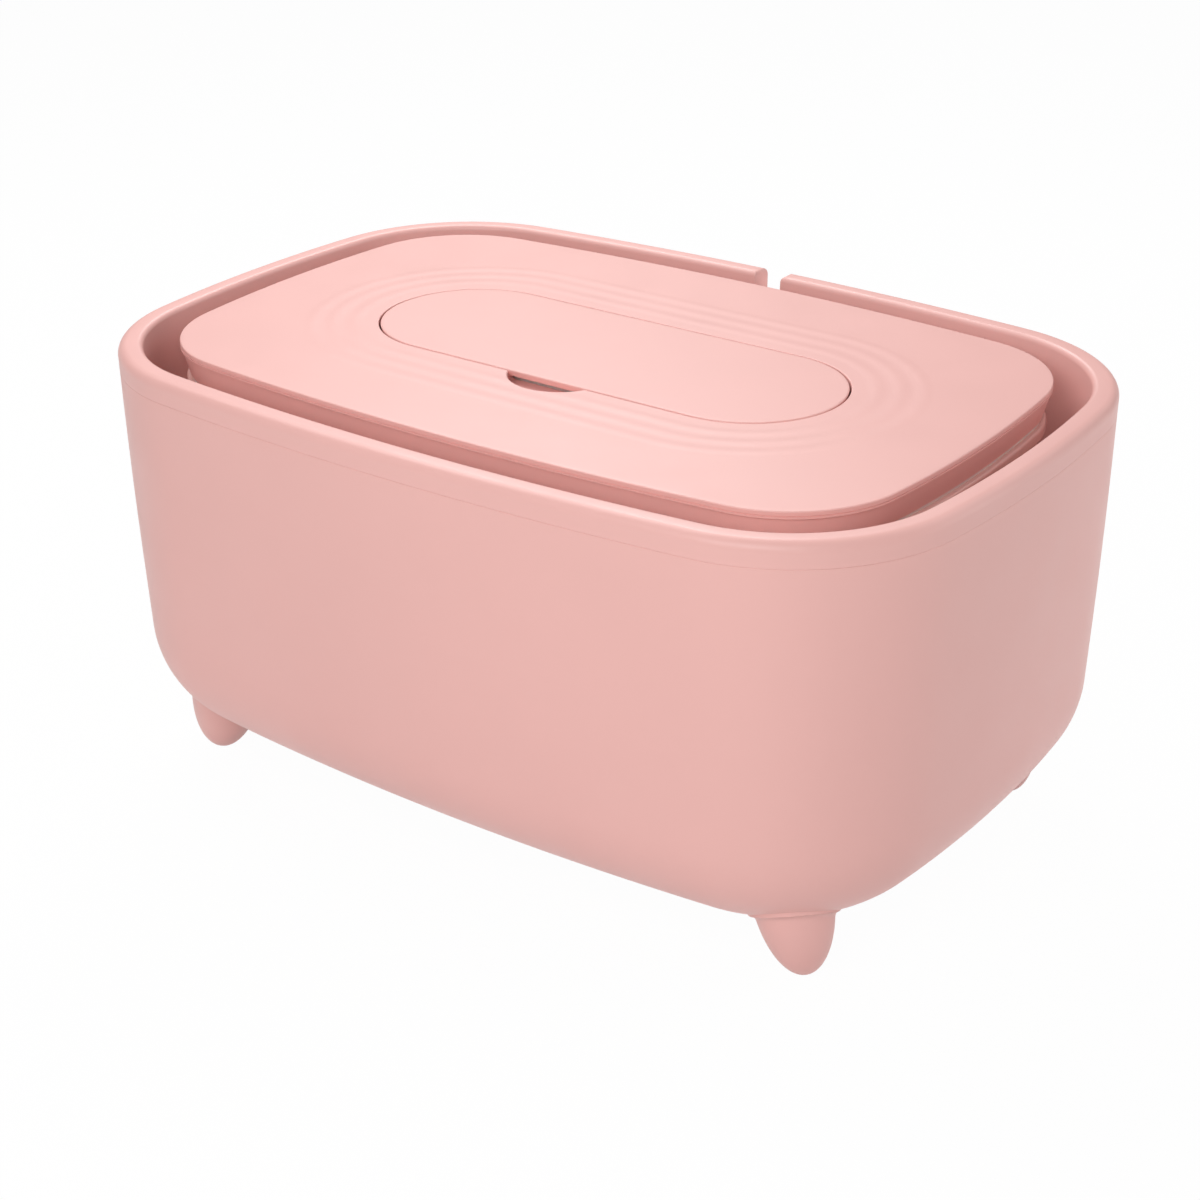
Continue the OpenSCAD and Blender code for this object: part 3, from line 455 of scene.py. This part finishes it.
def vary_roughness(tree, shader, fac, least, most):
    """The roughness runs from least to most with fac."""
    spread = node_at(tree, "ShaderNodeMapRange")
    spread.inputs["From Min"].default_value = NOISE_SPAN[0]
    spread.inputs["From Max"].default_value = NOISE_SPAN[1]
    spread.inputs["To Min"].default_value = least
    spread.inputs["To Max"].default_value = most
    tree.links.new(fac, spread.inputs["Value"])
    tree.links.new(spread.outputs["Result"], shader.inputs["Roughness"])


def add_bump(tree, shader, fac, strength, distance):
    bump = node_at(tree, "ShaderNodeBump")
    bump.inputs["Strength"].default_value = strength
    bump.inputs["Distance"].default_value = distance
    tree.links.new(fac, bump.inputs["Height"])
    tree.links.new(bump.outputs["Normal"], shader.inputs["Normal"])


def scaled(colour, k):
    return tuple(min(1.0, c * k) for c in colour)


def moulded(name, colour, roughness, grain=2600.0, grain_depth=0.004 * MM, spread=0.03, **sockets):
    """Moulded plastic or rubber: a fine grain, a slow drift of colour and of gloss."""
    mat, tree, shader = new_material(name, roughness, **sockets)
    dark, light = scaled(colour, 1 - spread / 2), scaled(colour, 1 + spread / 2)
    vary_colour(tree, shader, noise(tree, COLOUR_DRIFT), dark, light)
    gloss = noise(tree, GLOSS_DRIFT, 3.0)
    vary_roughness(tree, shader, gloss, roughness - GLOSS_SPREAD, roughness + GLOSS_SPREAD)
    add_bump(tree, shader, noise(tree, grain), 0.25, grain_depth)
    return mat


def brushed(name, colour, roughness, stretch=(1, 1, 1)):
    """Metal with fine marks drawn out along one axis."""
    mat, tree, shader = new_material(name, roughness, Metallic=1.0)
    marks = noise(tree, 900.0, 3.0, stretch)
    vary_colour(tree, shader, marks, scaled(colour, 0.92), scaled(colour, 1.05))
    vary_roughness(tree, shader, marks, roughness - 0.06, roughness + 0.1)
    add_bump(tree, shader, marks, 0.2, 0.01 * MM)
    return mat


def fibrous(name, colour, scale, depth):
    """Foam or felt: a cellular or matted surface."""
    mat, tree, shader = new_material(name, 0.95)
    cells = node_at(tree, "ShaderNodeTexVoronoi")
    cells.inputs["Scale"].default_value = scale
    coords = node_at(tree, "ShaderNodeTexCoord")
    tree.links.new(coords.outputs["Object"], cells.inputs["Vector"])
    vary_colour(tree, shader, cells.outputs["Distance"], scaled(colour, 0.82), scaled(colour, 1.06))
    add_bump(tree, shader, cells.outputs["Distance"], 0.6, depth)
    return mat


def circuit_green(name, colour):
    """Solder mask over a faint grid of tracks."""
    mat, tree, shader = new_material(name, 0.35, Coat_Weight=0.3)
    tracks = node_at(tree, "ShaderNodeTexBrick", offset=0.37)
    tracks.inputs["Scale"].default_value = 160.0
    tracks.inputs["Mortar Size"].default_value = 0.012
    coords = node_at(tree, "ShaderNodeTexCoord")
    tree.links.new(coords.outputs["Object"], tracks.inputs["Vector"])
    tracks.inputs["Color1"].default_value = (*colour, 1)
    tracks.inputs["Color2"].default_value = (*scaled(colour, 0.9), 1)
    tracks.inputs["Mortar"].default_value = (*scaled(colour, 1.7), 1)
    tree.links.new(tracks.outputs["Color"], shader.inputs["Base Color"])
    add_bump(tree, shader, tracks.outputs["Fac"], 0.3, 0.02 * MM)
    return mat


PINK = (0.869, 0.49, 0.452)
BIN_PINK = (0.72, 0.42, 0.38)

MATERIALS = {
    "pink_plastic": moulded("pink_plastic", PINK, 0.42, Specular_IOR_Level=0.4),
    "bin_plastic": moulded("bin_plastic", BIN_PINK, 0.4),
    "foam": fibrous("foam", (0.13, 0.135, 0.145), 900.0, 0.25 * MM),
    "felt": fibrous("felt", (0.75, 0.7, 0.58), 1500.0, 0.2 * MM),
    "steel": brushed("steel", (0.6, 0.61, 0.63), 0.3),
    "silicone": moulded("silicone", (0.82, 0.72, 0.68), 0.5, Subsurface_Weight=0.15,
                        Subsurface_Scale=2 * MM),
    "heater_alloy": brushed("heater_alloy", (0.72, 0.73, 0.75), 0.34, (1, 26, 1)),
    "heater_film": moulded("heater_film", (0.52, 0.2, 0.03), 0.22, grain=400.0,
                           grain_depth=0.02 * MM, spread=0.15, Coat_Weight=0.4),
    "black_plastic": moulded("black_plastic", (0.018, 0.018, 0.02), 0.45),
    "board": circuit_green("board", (0.02, 0.17, 0.07)),
    "red_lead": moulded("red_lead", (0.5, 0.02, 0.015), 0.4),
    "black_lead": moulded("black_lead", (0.02, 0.02, 0.022), 0.4),
    "gland_rubber": moulded("gland_rubber", (0.62, 0.36, 0.33), 0.6),
}


def dress(obj, slot):
    obj.data.materials.clear()
    obj.data.materials.append(MATERIALS[slot])


def place(obj, body, slot, *nodes):
    """Gives a new piece its finish and its body, and hides the nodes that it stands for."""
    dress(obj, slot)
    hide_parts(*nodes)
    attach(obj, body)


# ---- The tub ----


def slot_cutter(name, grow=0.0, top=SLOT_PAST_TOP, flare=0.0):
    """The cord slot in the back rim: a round bottom and upright sides, flared out at the rim."""
    r = SLOT_W / 2 + grow
    bottom = RIM_Z - SLOT_DEPTH + SLOT_W / 2
    right = [[r, RIM_Z + top]]
    if flare:
        rounded = arc((r + flare, RIM_Z - flare), flare, 180, 90, 6)
        right = np.concatenate([rounded, [[r + flare, RIM_Z + top]]])
    left = np.array(right)[::-1] * [-1, 1]
    profile = np.concatenate([arc((0, bottom), r, 180, 360, 24), right, left])
    inside = TUB_W / 2 - inner_in(RIM_Z - SLOT_DEPTH) - SLOT_PAST_IN
    outside = TUB_W / 2 + SLOT_PAST_OUT
    return loft(name, [np.column_stack([profile[:, 0], np.full(len(profile), y), profile[:, 1]])
                       for y in (inside, outside)])


def build_shell():
    heights = np.linspace(BASE_Z + BASE_R + WALL_LOOP, PART_Z - SEAM_R, 14)
    top_in = outer_wall(PART_Z)
    shell = bowl("tub_shell", np.concatenate([
        [(MIDDLE_IN, BASE_Z), (SHELL_CENTRE[0] + FLOOR_LOOP, BASE_Z)],
        floor_edge(SHELL_CENTRE, BASE_R, TUB_DRAFT, 30)[::-1],
        [(outer_wall(z), z) for z in heights],
        arc((top_in + SEAM_R, PART_Z - SEAM_R), SEAM_R, 180, 90, 4)[1:],
        [(top_in + SHELL_T, PART_Z)],
        floor_edge(SHELL_CENTRE, BASE_R - SHELL_T, TUB_DRAFT),
        [(MIDDLE_IN, BASE_Z + SHELL_T)]]))
    pad_r = SCREW_POCKET_R + SCREW_PAD_W
    pad_top = BASE_Z + SCREW_POCKET_H + SCREW_PAD_T
    places = [(sx * SCREW_X, sy * SCREW_Y) for sx in (-1, 1) for sy in (-1, 1)]
    for k, (x, y) in enumerate(places):
        pad = lathe(f"pad{k}", [(pad_r, BASE_Z + SHELL_T / 2), (pad_r, pad_top)], x, y)
        combine(shell, pad, "UNION")
        pocket = lathe(f"pocket{k}", [(SCREW_POCKET_R, BASE_Z - CUT_PAST),
                                      (SCREW_POCKET_R, BASE_Z + SCREW_POCKET_H)], x, y)
        combine(shell, pocket, "DIFFERENCE")
    combine(shell, slot_cutter("shell_slot"), "DIFFERENCE")
    place(shell, "tub", "pink_plastic", "outer_shell")


def build_liner():
    """The inner tub: floor with a plinth for the bin, wall, rolled rim, and the slot's lining."""
    under = BASE_Z + SHELL_T + FLOOR_GAP
    floor = under + INNER_T
    centre = edge_centre(inner_in(floor + INNER_FLOOR_R), INNER_SLOPE, INNER_FLOOR_R, floor)
    plinth = floor + PLINTH_H
    plinth_in = BIN_FOOT_IN + PLINTH_CLEAR
    tongue_in = outer_in(PART_Z) + SHELL_T + TONGUE_CLEAR
    tongue_low = PART_Z - TONGUE_H
    channel_z = RIM_Z - INNER_T - RIM_EXTRA_T
    low_in = outer_wall(PART_Z)
    rim_low = RIM_Z - RIM_OUT_R
    liner = bowl("tub_liner", np.concatenate([
        [(MIDDLE_IN, under)],
        floor_edge(centre, INNER_FLOOR_R + INNER_T, INNER_SLOPE)[::-1],
        [(RIM_W - INNER_T, channel_z), (tongue_in + TONGUE_T, channel_z),
         (tongue_in + TONGUE_T, tongue_low), (tongue_in, tongue_low), (tongue_in, PART_Z)],
        arc((low_in + SEAM_R, PART_Z + SEAM_R), SEAM_R, 270, 180, 4),
        [(outer_wall(z), z) for z in np.linspace(PART_Z + SEAM_LOOP, rim_low - RIM_LOOP, 4)],
        arc((RIM_OUT_R, rim_low), RIM_OUT_R, 180, 90, 12),
        arc((RIM_W - RIM_IN_R, RIM_Z - RIM_IN_R), RIM_IN_R, 90, 3, 9),
        [(inner_in(z), z)
         for z in np.linspace(RIM_Z - WALL_LOOP, floor + INNER_FLOOR_R + FLOOR_LOOP, 8)],
        floor_edge(centre, INNER_FLOOR_R, INNER_SLOPE, 20),
        [(plinth_in - PLINTH_EDGE, floor), (plinth_in, floor + PLINTH_EDGE),
         (plinth_in, plinth - PLINTH_EDGE), (plinth_in + PLINTH_EDGE, plinth),
         (MIDDLE_IN, plinth)]]))
    between = bowl("between_walls", [
        (tongue_in, PART_Z - LINING_DEPTH), (tongue_in, PART_Z),
        (outer_in(PART_Z) + LINING_STEP, PART_Z + LINING_STEP), (WELD, rim_low)])
    core = bowl("inside_walls", [(RIM_W - WELD, PART_Z - CORE_DEPTH),
                                 (RIM_W - WELD, RIM_Z + CUT_PAST)])
    combine(between, core, "DIFFERENCE")
    lining = slot_cutter("slot_lining", SLOT_WALL, -RIM_OUT_R)
    combine(lining, between, "INTERSECT")
    combine(liner, lining, "UNION")
    combine(liner, slot_cutter("liner_slot", flare=SLOT_EDGE_R), "DIFFERENCE")
    place(liner, "tub", "pink_plastic", "inner_tub")


def above_shell(q, z):
    """Distance outside the tub's skin of a point at height z, q from its corner's centre."""
    edge_q = CORNER_R - outer_in(BASE_Z + BASE_R) - BASE_R
    round_gap = np.hypot(q - edge_q, z - BASE_Z - BASE_R) - BASE_R
    return np.where(q > edge_q, round_gap, BASE_Z - z)


def build_foot(name, sx, sy):
    """The ellipsoid swells out into a fillet where it nears the tub's skin."""
    root = np.array([sx * (CORNER_C[0] + FOOT_OUT[0]), sy * (CORNER_C[1] + FOOT_OUT[1]),
                     BASE_Z + FOOT_ROOT_UP])
    lean = math.atan2(FOOT_LEAN_OUT, root[2])
    reach = math.hypot(FOOT_ROUND_L * math.cos(lean), FOOT_R * math.sin(lean))
    widest = (reach - FOOT_FLAT - root[2]) / math.cos(lean)
    # The lowest loop stays just off the pole
    angles = np.radians(np.linspace(89.5, 0, 100))
    section = np.concatenate([
        np.stack([FOOT_R * np.cos(angles), widest - FOOT_ROUND_L * np.sin(angles)], 1),
        [(FOOT_R, widest + FOOT_STEP * k) for k in (1, 2)]])
    turns = np.linspace(0, 2 * math.pi, 120, endpoint=False)
    spokes = np.stack([np.cos(turns), np.sin(turns), 0 * turns], 1)
    tilt = np.array(Matrix.Rotation(-sx * lean, 3, "Y"))
    loops = []
    for r, z in section:
        loop = (spokes * r + [0, 0, z]) @ tilt.T + root
        q = np.hypot(loop[:, 0] - sx * CORNER_C[0], loop[:, 1] - sy * CORNER_C[1])
        near = np.clip(FOOT_FILLET - above_shell(q, loop[:, 2]), 0, FOOT_FILLET)
        swell = FOOT_FILLET - np.sqrt(FOOT_FILLET**2 - near**2)
        loops.append(loop + swell[:, None] * (spokes @ tilt.T))
    foot = loft(name, loops)
    half = np.array((-GROUND_HALF, GROUND_HALF))
    ground = brick(name + "_ground", root[0] + half, root[1] + half, (-GROUND_HALF, 0))
    combine(foot, ground, "DIFFERENCE")
    # The foot ends inside the shell's wall
    edge = floor_edge(SHELL_CENTRE, BASE_R - SHELL_T / 2, TUB_DRAFT, 20)
    core = bowl(name + "_core", np.concatenate([
        edge[::-1], [(outer_in(PART_Z) + SHELL_T / 2, PART_Z)]]))
    combine(foot, core, "DIFFERENCE")
    place(foot, "tub", "pink_plastic", name)


# ---- The bin ----


def build_bin():
    lip_low = BIN_TOP_Z - BIN_LIP_H
    top = BIN_TOP_Z - GASKET_CLEAR
    mouth = BIN_INSET + BIN_LIP_W + BIN_T
    foot_top = BIN_LOW_Z + BIN_FOOT_H
    heights = np.linspace(BIN_LOW_Z + BIN_FLOOR_R + FLOOR_LOOP, lip_low - BIN_LIP_OUT_R, 6)
    place(bowl("bin", np.concatenate([
        [(MIDDLE_IN, foot_top), (BIN_FOOT_IN, foot_top), (BIN_FOOT_IN, BIN_LOW_Z)],
        floor_edge(BIN_CENTRE, BIN_FLOOR_R, BIN_SLOPE, 18)[::-1],
        [(bin_in(z), z) for z in heights],
        [(BIN_INSET + BIN_LIP_CHAMFER, lip_low), (BIN_INSET, lip_low + BIN_LIP_CHAMFER)],
        arc((BIN_INSET + BIN_LIP_OUT_R, top - BIN_LIP_OUT_R), BIN_LIP_OUT_R, 180, 90, 5),
        arc((mouth - BIN_LIP_IN_R, top - BIN_LIP_IN_R), BIN_LIP_IN_R, 90, 2, 4),
        floor_edge(BIN_CENTRE, BIN_FLOOR_R - BIN_T, BIN_SLOPE, 18),
        [(MIDDLE_IN, BIN_CENTRE[1] - BIN_FLOOR_R + BIN_T)]])),
        "bin", "bin_plastic", "wipes_bin")


# ---- The lid ----


def ripple(distance):
    """Depth of the lid's top below its highest level, at a distance outside the flap."""
    depth = RIPPLE_H
    for crest in RIPPLE_CRESTS:
        off = abs(distance - crest)
        if off < RIPPLE_HALF:
            depth = RIPPLE_H * (1 - math.cos(math.pi * off / 2 / RIPPLE_HALF) ** 2)
    return depth


def build_cover():
    edge = LID_INSET
    groove_top, groove_low, groove_in = LID_GROOVE
    flat = LID_Z - RIPPLE_H
    side = np.concatenate([
        [(edge + LID_LOW_R + COVER_LOW_LOOP, COVER_Z)],
        arc((edge + LID_LOW_R, COVER_Z + LID_LOW_R), LID_LOW_R, 270, 180, 4),
        [(edge, LID_Z - groove_low), (edge + groove_in, LID_Z - groove_low + GROOVE_DRAFT),
         (edge + groove_in, LID_Z - groove_top - GROOVE_DRAFT), (edge, LID_Z - groove_top)],
        arc((edge + LID_EDGE_R, flat - LID_EDGE_R), LID_EDGE_R, 180, 90, 8),
        [(edge + LID_EDGE_R + COVER_LOOP, flat)]])
    loops = [at_height(outline(d), z) for d, z in side]
    # Across the flat top, from the lid's outline to the outermost ripple's stadium
    reach = RIPPLE_CRESTS[-1] + RIPPLE_HALF
    last = loops[-1][:, :2]
    first = stadium(FLAP_L, FLAP_W, reach)
    for t in np.linspace(0, 1, 9)[1:-1]:
        loops.append(at_height(last + (first - last) * t, flat))
    for distance in np.arange(reach, SEAM + RIPPLE_END, -RIPPLE_STEP):
        loops.append(at_height(stadium(FLAP_L, FLAP_W, distance), LID_Z - ripple(distance)))
    rim = arc((SEAM + HOLE_EDGE_R, flat - HOLE_EDGE_R), HOLE_EDGE_R, 90, 180, 5)
    loops += [at_height(stadium(FLAP_L, FLAP_W, d), z) for d, z in rim]
    loops.append(at_height(stadium(FLAP_L + 2 * SEAM, FLAP_W + 2 * SEAM), COVER_Z))
    cover = loft("lid_cover", loops, ring=True)

    scoop_y = FLAP_Y - FLAP_W / 2 - SEAM - SCOOP_REACH + SCOOP_R
    scoop_z = LID_Z - SCOOP_DEPTH
    cup_r = SCOOP_R + SCOOP_T
    cup = lathe("cup", [(cup_r, scoop_z - SCOOP_T), (cup_r, COVER_Z + CUP_WELD)], 0, scoop_y)
    block_half, block_front = CUP_BLOCK
    front = brick("front", (-block_half, block_half),
                  (block_front, FLAP_Y - FLAP_W / 2 + SCOOP_UNDER_FLAP), (BASE_Z, RIM_Z))
    combine(cup, front, "INTERSECT")
    combine(cover, cup, "UNION")
    mouth_r = SCOOP_R + HOLE_EDGE_R
    scoop = lathe("scoop", [
        (SCOOP_R - SCOOP_CHAMFER, scoop_z), (SCOOP_R, scoop_z + SCOOP_CHAMFER),
        (SCOOP_R, flat - HOLE_EDGE_R), (mouth_r, flat), (mouth_r, LID_Z + CUT_PAST)], 0, scoop_y)
    combine(cover, scoop, "DIFFERENCE")
    place(cover, "lid", "pink_plastic", "top_cover")


def build_flap():
    """The plate, the ring that carries its seal, and two curved arms to the hinge."""
    r = FLAP_EDGE_R
    under = LID_Z - FLAP_T
    waist_in, waist_depth = FLAP_WAIST
    edge = np.concatenate([
        [(FLAP_MIDDLE_IN, LID_Z), (r + PLATE_LOOP, LID_Z)],
        arc((r, LID_Z - r), r, 90, 180, 6),
        [(waist_in, LID_Z - waist_depth), (FLAP_SIDE, under), (FLAP_SIDE + PLATE_LOOP, under),
         (FLAP_MIDDLE_IN, under)]])
    flap = loft("flap_lid", [at_height(stadium(FLAP_L, FLAP_W, -d), z) for d, z in edge])
    seal_low, seal_high = low("flap_seal"), high("flap_seal")
    ring_l, ring_w = seal_high.x - seal_low.x, seal_high.y - seal_low.y
    sides = [(0, under + RING_WELD), (0, seal_high.z), (RING_T, seal_high.z),
             (RING_T, under + RING_WELD)]
    ring = loft("ring", [at_height(stadium(ring_l, ring_w, -d), z) for d, z in sides], ring=True)
    combine(flap, ring, "UNION")
    arm_in = math.hypot(HINGE_BACK - SEAM, HINGE_DEPTH) + ARM_CLEAR
    arm_out = arm_in + ARM_T
    arm_top = HINGE_DEPTH - FLAP_T + WELD
    arm = np.concatenate([
        arc((0, 0), arm_out, 180, ARM_END, 24), arc((0, 0), arm_in, ARM_END, 180, 20),
        [(-arm_in, arm_top), (-arm_out, arm_top)]])
    web_low = -arm_in - WEB_ROOT
    web = np.array([(WEB_BACK, web_low), (WEB_FRONT[0], web_low), (WEB_FRONT[1], WEB_TOP),
                    (WEB_BACK, WEB_TOP)])
    for k, sx in enumerate((-1, 1)):
        x0, x1 = sx * ARM_X - ARM_W / 2, sx * ARM_X + ARM_W / 2
        for part, profile in enumerate((arm, web, circle(KNUCKLE_R, 40))):
            combine(flap, along_x(f"arm{k}_{part}", profile, x0, x1), "UNION")
        hole = along_x(f"pin_hole{k}", circle(PIN_HOLE_R, 32), x0 - CUT_PAST, x1 + CUT_PAST)
        combine(flap, hole, "DIFFERENCE")
    place(flap, "flap", "pink_plastic", "flap")


def build_part():
    """The new pieces, and a finish for every solid that is kept as it is."""
    build_shell()
    build_liner()
    for side, sx in (("left", -1), ("right", 1)):
        for end, sy in (("front", -1), ("back", 1)):
            build_foot(f"foot_{end}_{side}", sx, sy)
    build_bin()
    build_cover()
    build_flap()
    slots = {p["node"]: p["material_slot"] for p in frame["record"]["subparts"]}
    for name, obj in frame["nodes"].items():
        dress(obj, slots[name])


# ---- The studio ----

# Metres
FLOOR_HALF = 2.5
# How much of the floor a camera ray sees as plain white. The rest keeps the shadow
FLOOR_WHITE = 0.975

WORLD_LIGHT = 0.2
LAMP_AIM = Vector((0, 0, 60 * MM))
LAMP_SIZE = 0.35
# name: azimuth right of the front, elevation, distance, power
LAMPS = {
    "front_high": (8.0, 36.0, 0.7, 1.38),
    "front_right": (32.0, 32.0, 0.7, 1.06),
    "right": (125.0, 10.0, 0.7, 0.74),
    "right_back": (140.0, 38.0, 0.7, 0.64),
    "left_top": (-95.0, 58.0, 0.7, 1.5),
    "left_back": (-140.0, 45.0, 0.8, 2.45),
}

CAMERA_AT = Vector((323.9, -442.2, 315.8)) * MM
CAMERA_AZIMUTH = 36.401
CAMERA_ELEVATION = 25.936
CAMERA_ROLL = -0.534
CAMERA_LENS = 70.41
CAMERA_SENSOR = 36.0


def white_for_camera(mat, share):
    """Camera, glossy and transmission rays see the given share of the surface as plain white."""
    tree = mat.node_tree
    out = tree.nodes["Material Output"]
    shader = tree.nodes["Principled BSDF"]
    path = node_at(tree, "ShaderNodeLightPath")
    glow = node_at(tree, "ShaderNodeEmission")
    rays = path.outputs["Is Camera Ray"]
    for other in ("Is Glossy Ray", "Is Transmission Ray"):
        either = node_at(tree, "ShaderNodeMath", operation="MAXIMUM")
        tree.links.new(rays, either.inputs[0])
        tree.links.new(path.outputs[other], either.inputs[1])
        rays = either.outputs[0]
    part = node_at(tree, "ShaderNodeMath", operation="MULTIPLY")
    part.inputs[1].default_value = share
    tree.links.new(rays, part.inputs[0])
    mix = node_at(tree, "ShaderNodeMixShader")
    tree.links.new(part.outputs[0], mix.inputs["Fac"])
    tree.links.new(shader.outputs["BSDF"], mix.inputs[1])
    tree.links.new(glow.outputs["Emission"], mix.inputs[2])
    tree.links.new(mix.outputs["Shader"], out.inputs["Surface"])


def build_floor():
    corners = [(sx * FLOOR_HALF, sy * FLOOR_HALF, 0)
               for sx, sy in ((-1, -1), (1, -1), (1, 1), (-1, 1))]
    floor = mesh_object("floor", np.array(corners) / MM, [(0, 1, 2, 3)])
    mat, tree, shader = new_material("floor_white", 0.9)
    vary_colour(tree, shader, noise(tree, 3.0), (0.86, 0.86, 0.86), (0.9, 0.9, 0.9))
    white_for_camera(mat, FLOOR_WHITE)
    floor.data.materials.append(mat)


def direction(azimuth, elevation):
    """Unit vector towards a place at that azimuth, right of the front, and elevation."""
    a, e = math.radians(azimuth), math.radians(elevation)
    return Vector((math.sin(a) * math.cos(e), -math.cos(a) * math.cos(e), math.sin(e)))


def build_lamps():
    for name, (azimuth, elevation, distance, power) in LAMPS.items():
        data = bpy.data.lights.new(name, "AREA")
        data.shape = "DISK"
        data.size = LAMP_SIZE
        data.energy = power
        lamp = bpy.data.objects.new(name, data)
        away = direction(azimuth, elevation)
        lamp.location = LAMP_AIM + distance * away
        lamp.visible_camera = False
        lamp.rotation_euler = away.to_track_quat("Z", "Y").to_euler()
        bpy.context.scene.collection.objects.link(lamp)


def build_world():
    """A weak white surround, which the camera sees at full strength."""
    world = bpy.data.worlds.new("studio")
    bpy.context.scene.world = world
    world.use_nodes = True
    tree = world.node_tree
    sky = tree.nodes["Background"]
    sky.inputs["Color"].default_value = (1, 1, 1, 1)
    sky.inputs["Strength"].default_value = WORLD_LIGHT
    backdrop = node_at(tree, "ShaderNodeBackground")
    backdrop.inputs["Color"].default_value = (1, 1, 1, 1)
    path = node_at(tree, "ShaderNodeLightPath")
    mix = node_at(tree, "ShaderNodeMixShader")
    tree.links.new(path.outputs["Is Camera Ray"], mix.inputs["Fac"])
    tree.links.new(sky.outputs["Background"], mix.inputs[1])
    tree.links.new(backdrop.outputs["Background"], mix.inputs[2])
    tree.links.new(mix.outputs["Shader"], tree.nodes["World Output"].inputs["Surface"])


def build_camera():
    data = bpy.data.cameras.new("camera")
    data.lens = CAMERA_LENS
    data.sensor_width = CAMERA_SENSOR
    camera = bpy.data.objects.new("camera", data)
    back = direction(CAMERA_AZIMUTH, CAMERA_ELEVATION)
    level = Vector((0, 0, 1)).cross(back).normalized()
    up = back.cross(level)
    roll = math.radians(CAMERA_ROLL)
    right = math.cos(roll) * level + math.sin(roll) * up
    tall = math.cos(roll) * up - math.sin(roll) * level
    camera.matrix_world = Matrix((
        (right[0], tall[0], back[0], CAMERA_AT[0]),
        (right[1], tall[1], back[1], CAMERA_AT[1]),
        (right[2], tall[2], back[2], CAMERA_AT[2]),
        (0, 0, 0, 1)))
    bpy.context.scene.collection.objects.link(camera)
    bpy.context.scene.camera = camera


build_part()
build_floor()
build_lamps()
build_world()
build_camera()
bpy.context.scene.view_settings.view_transform = "Standard"
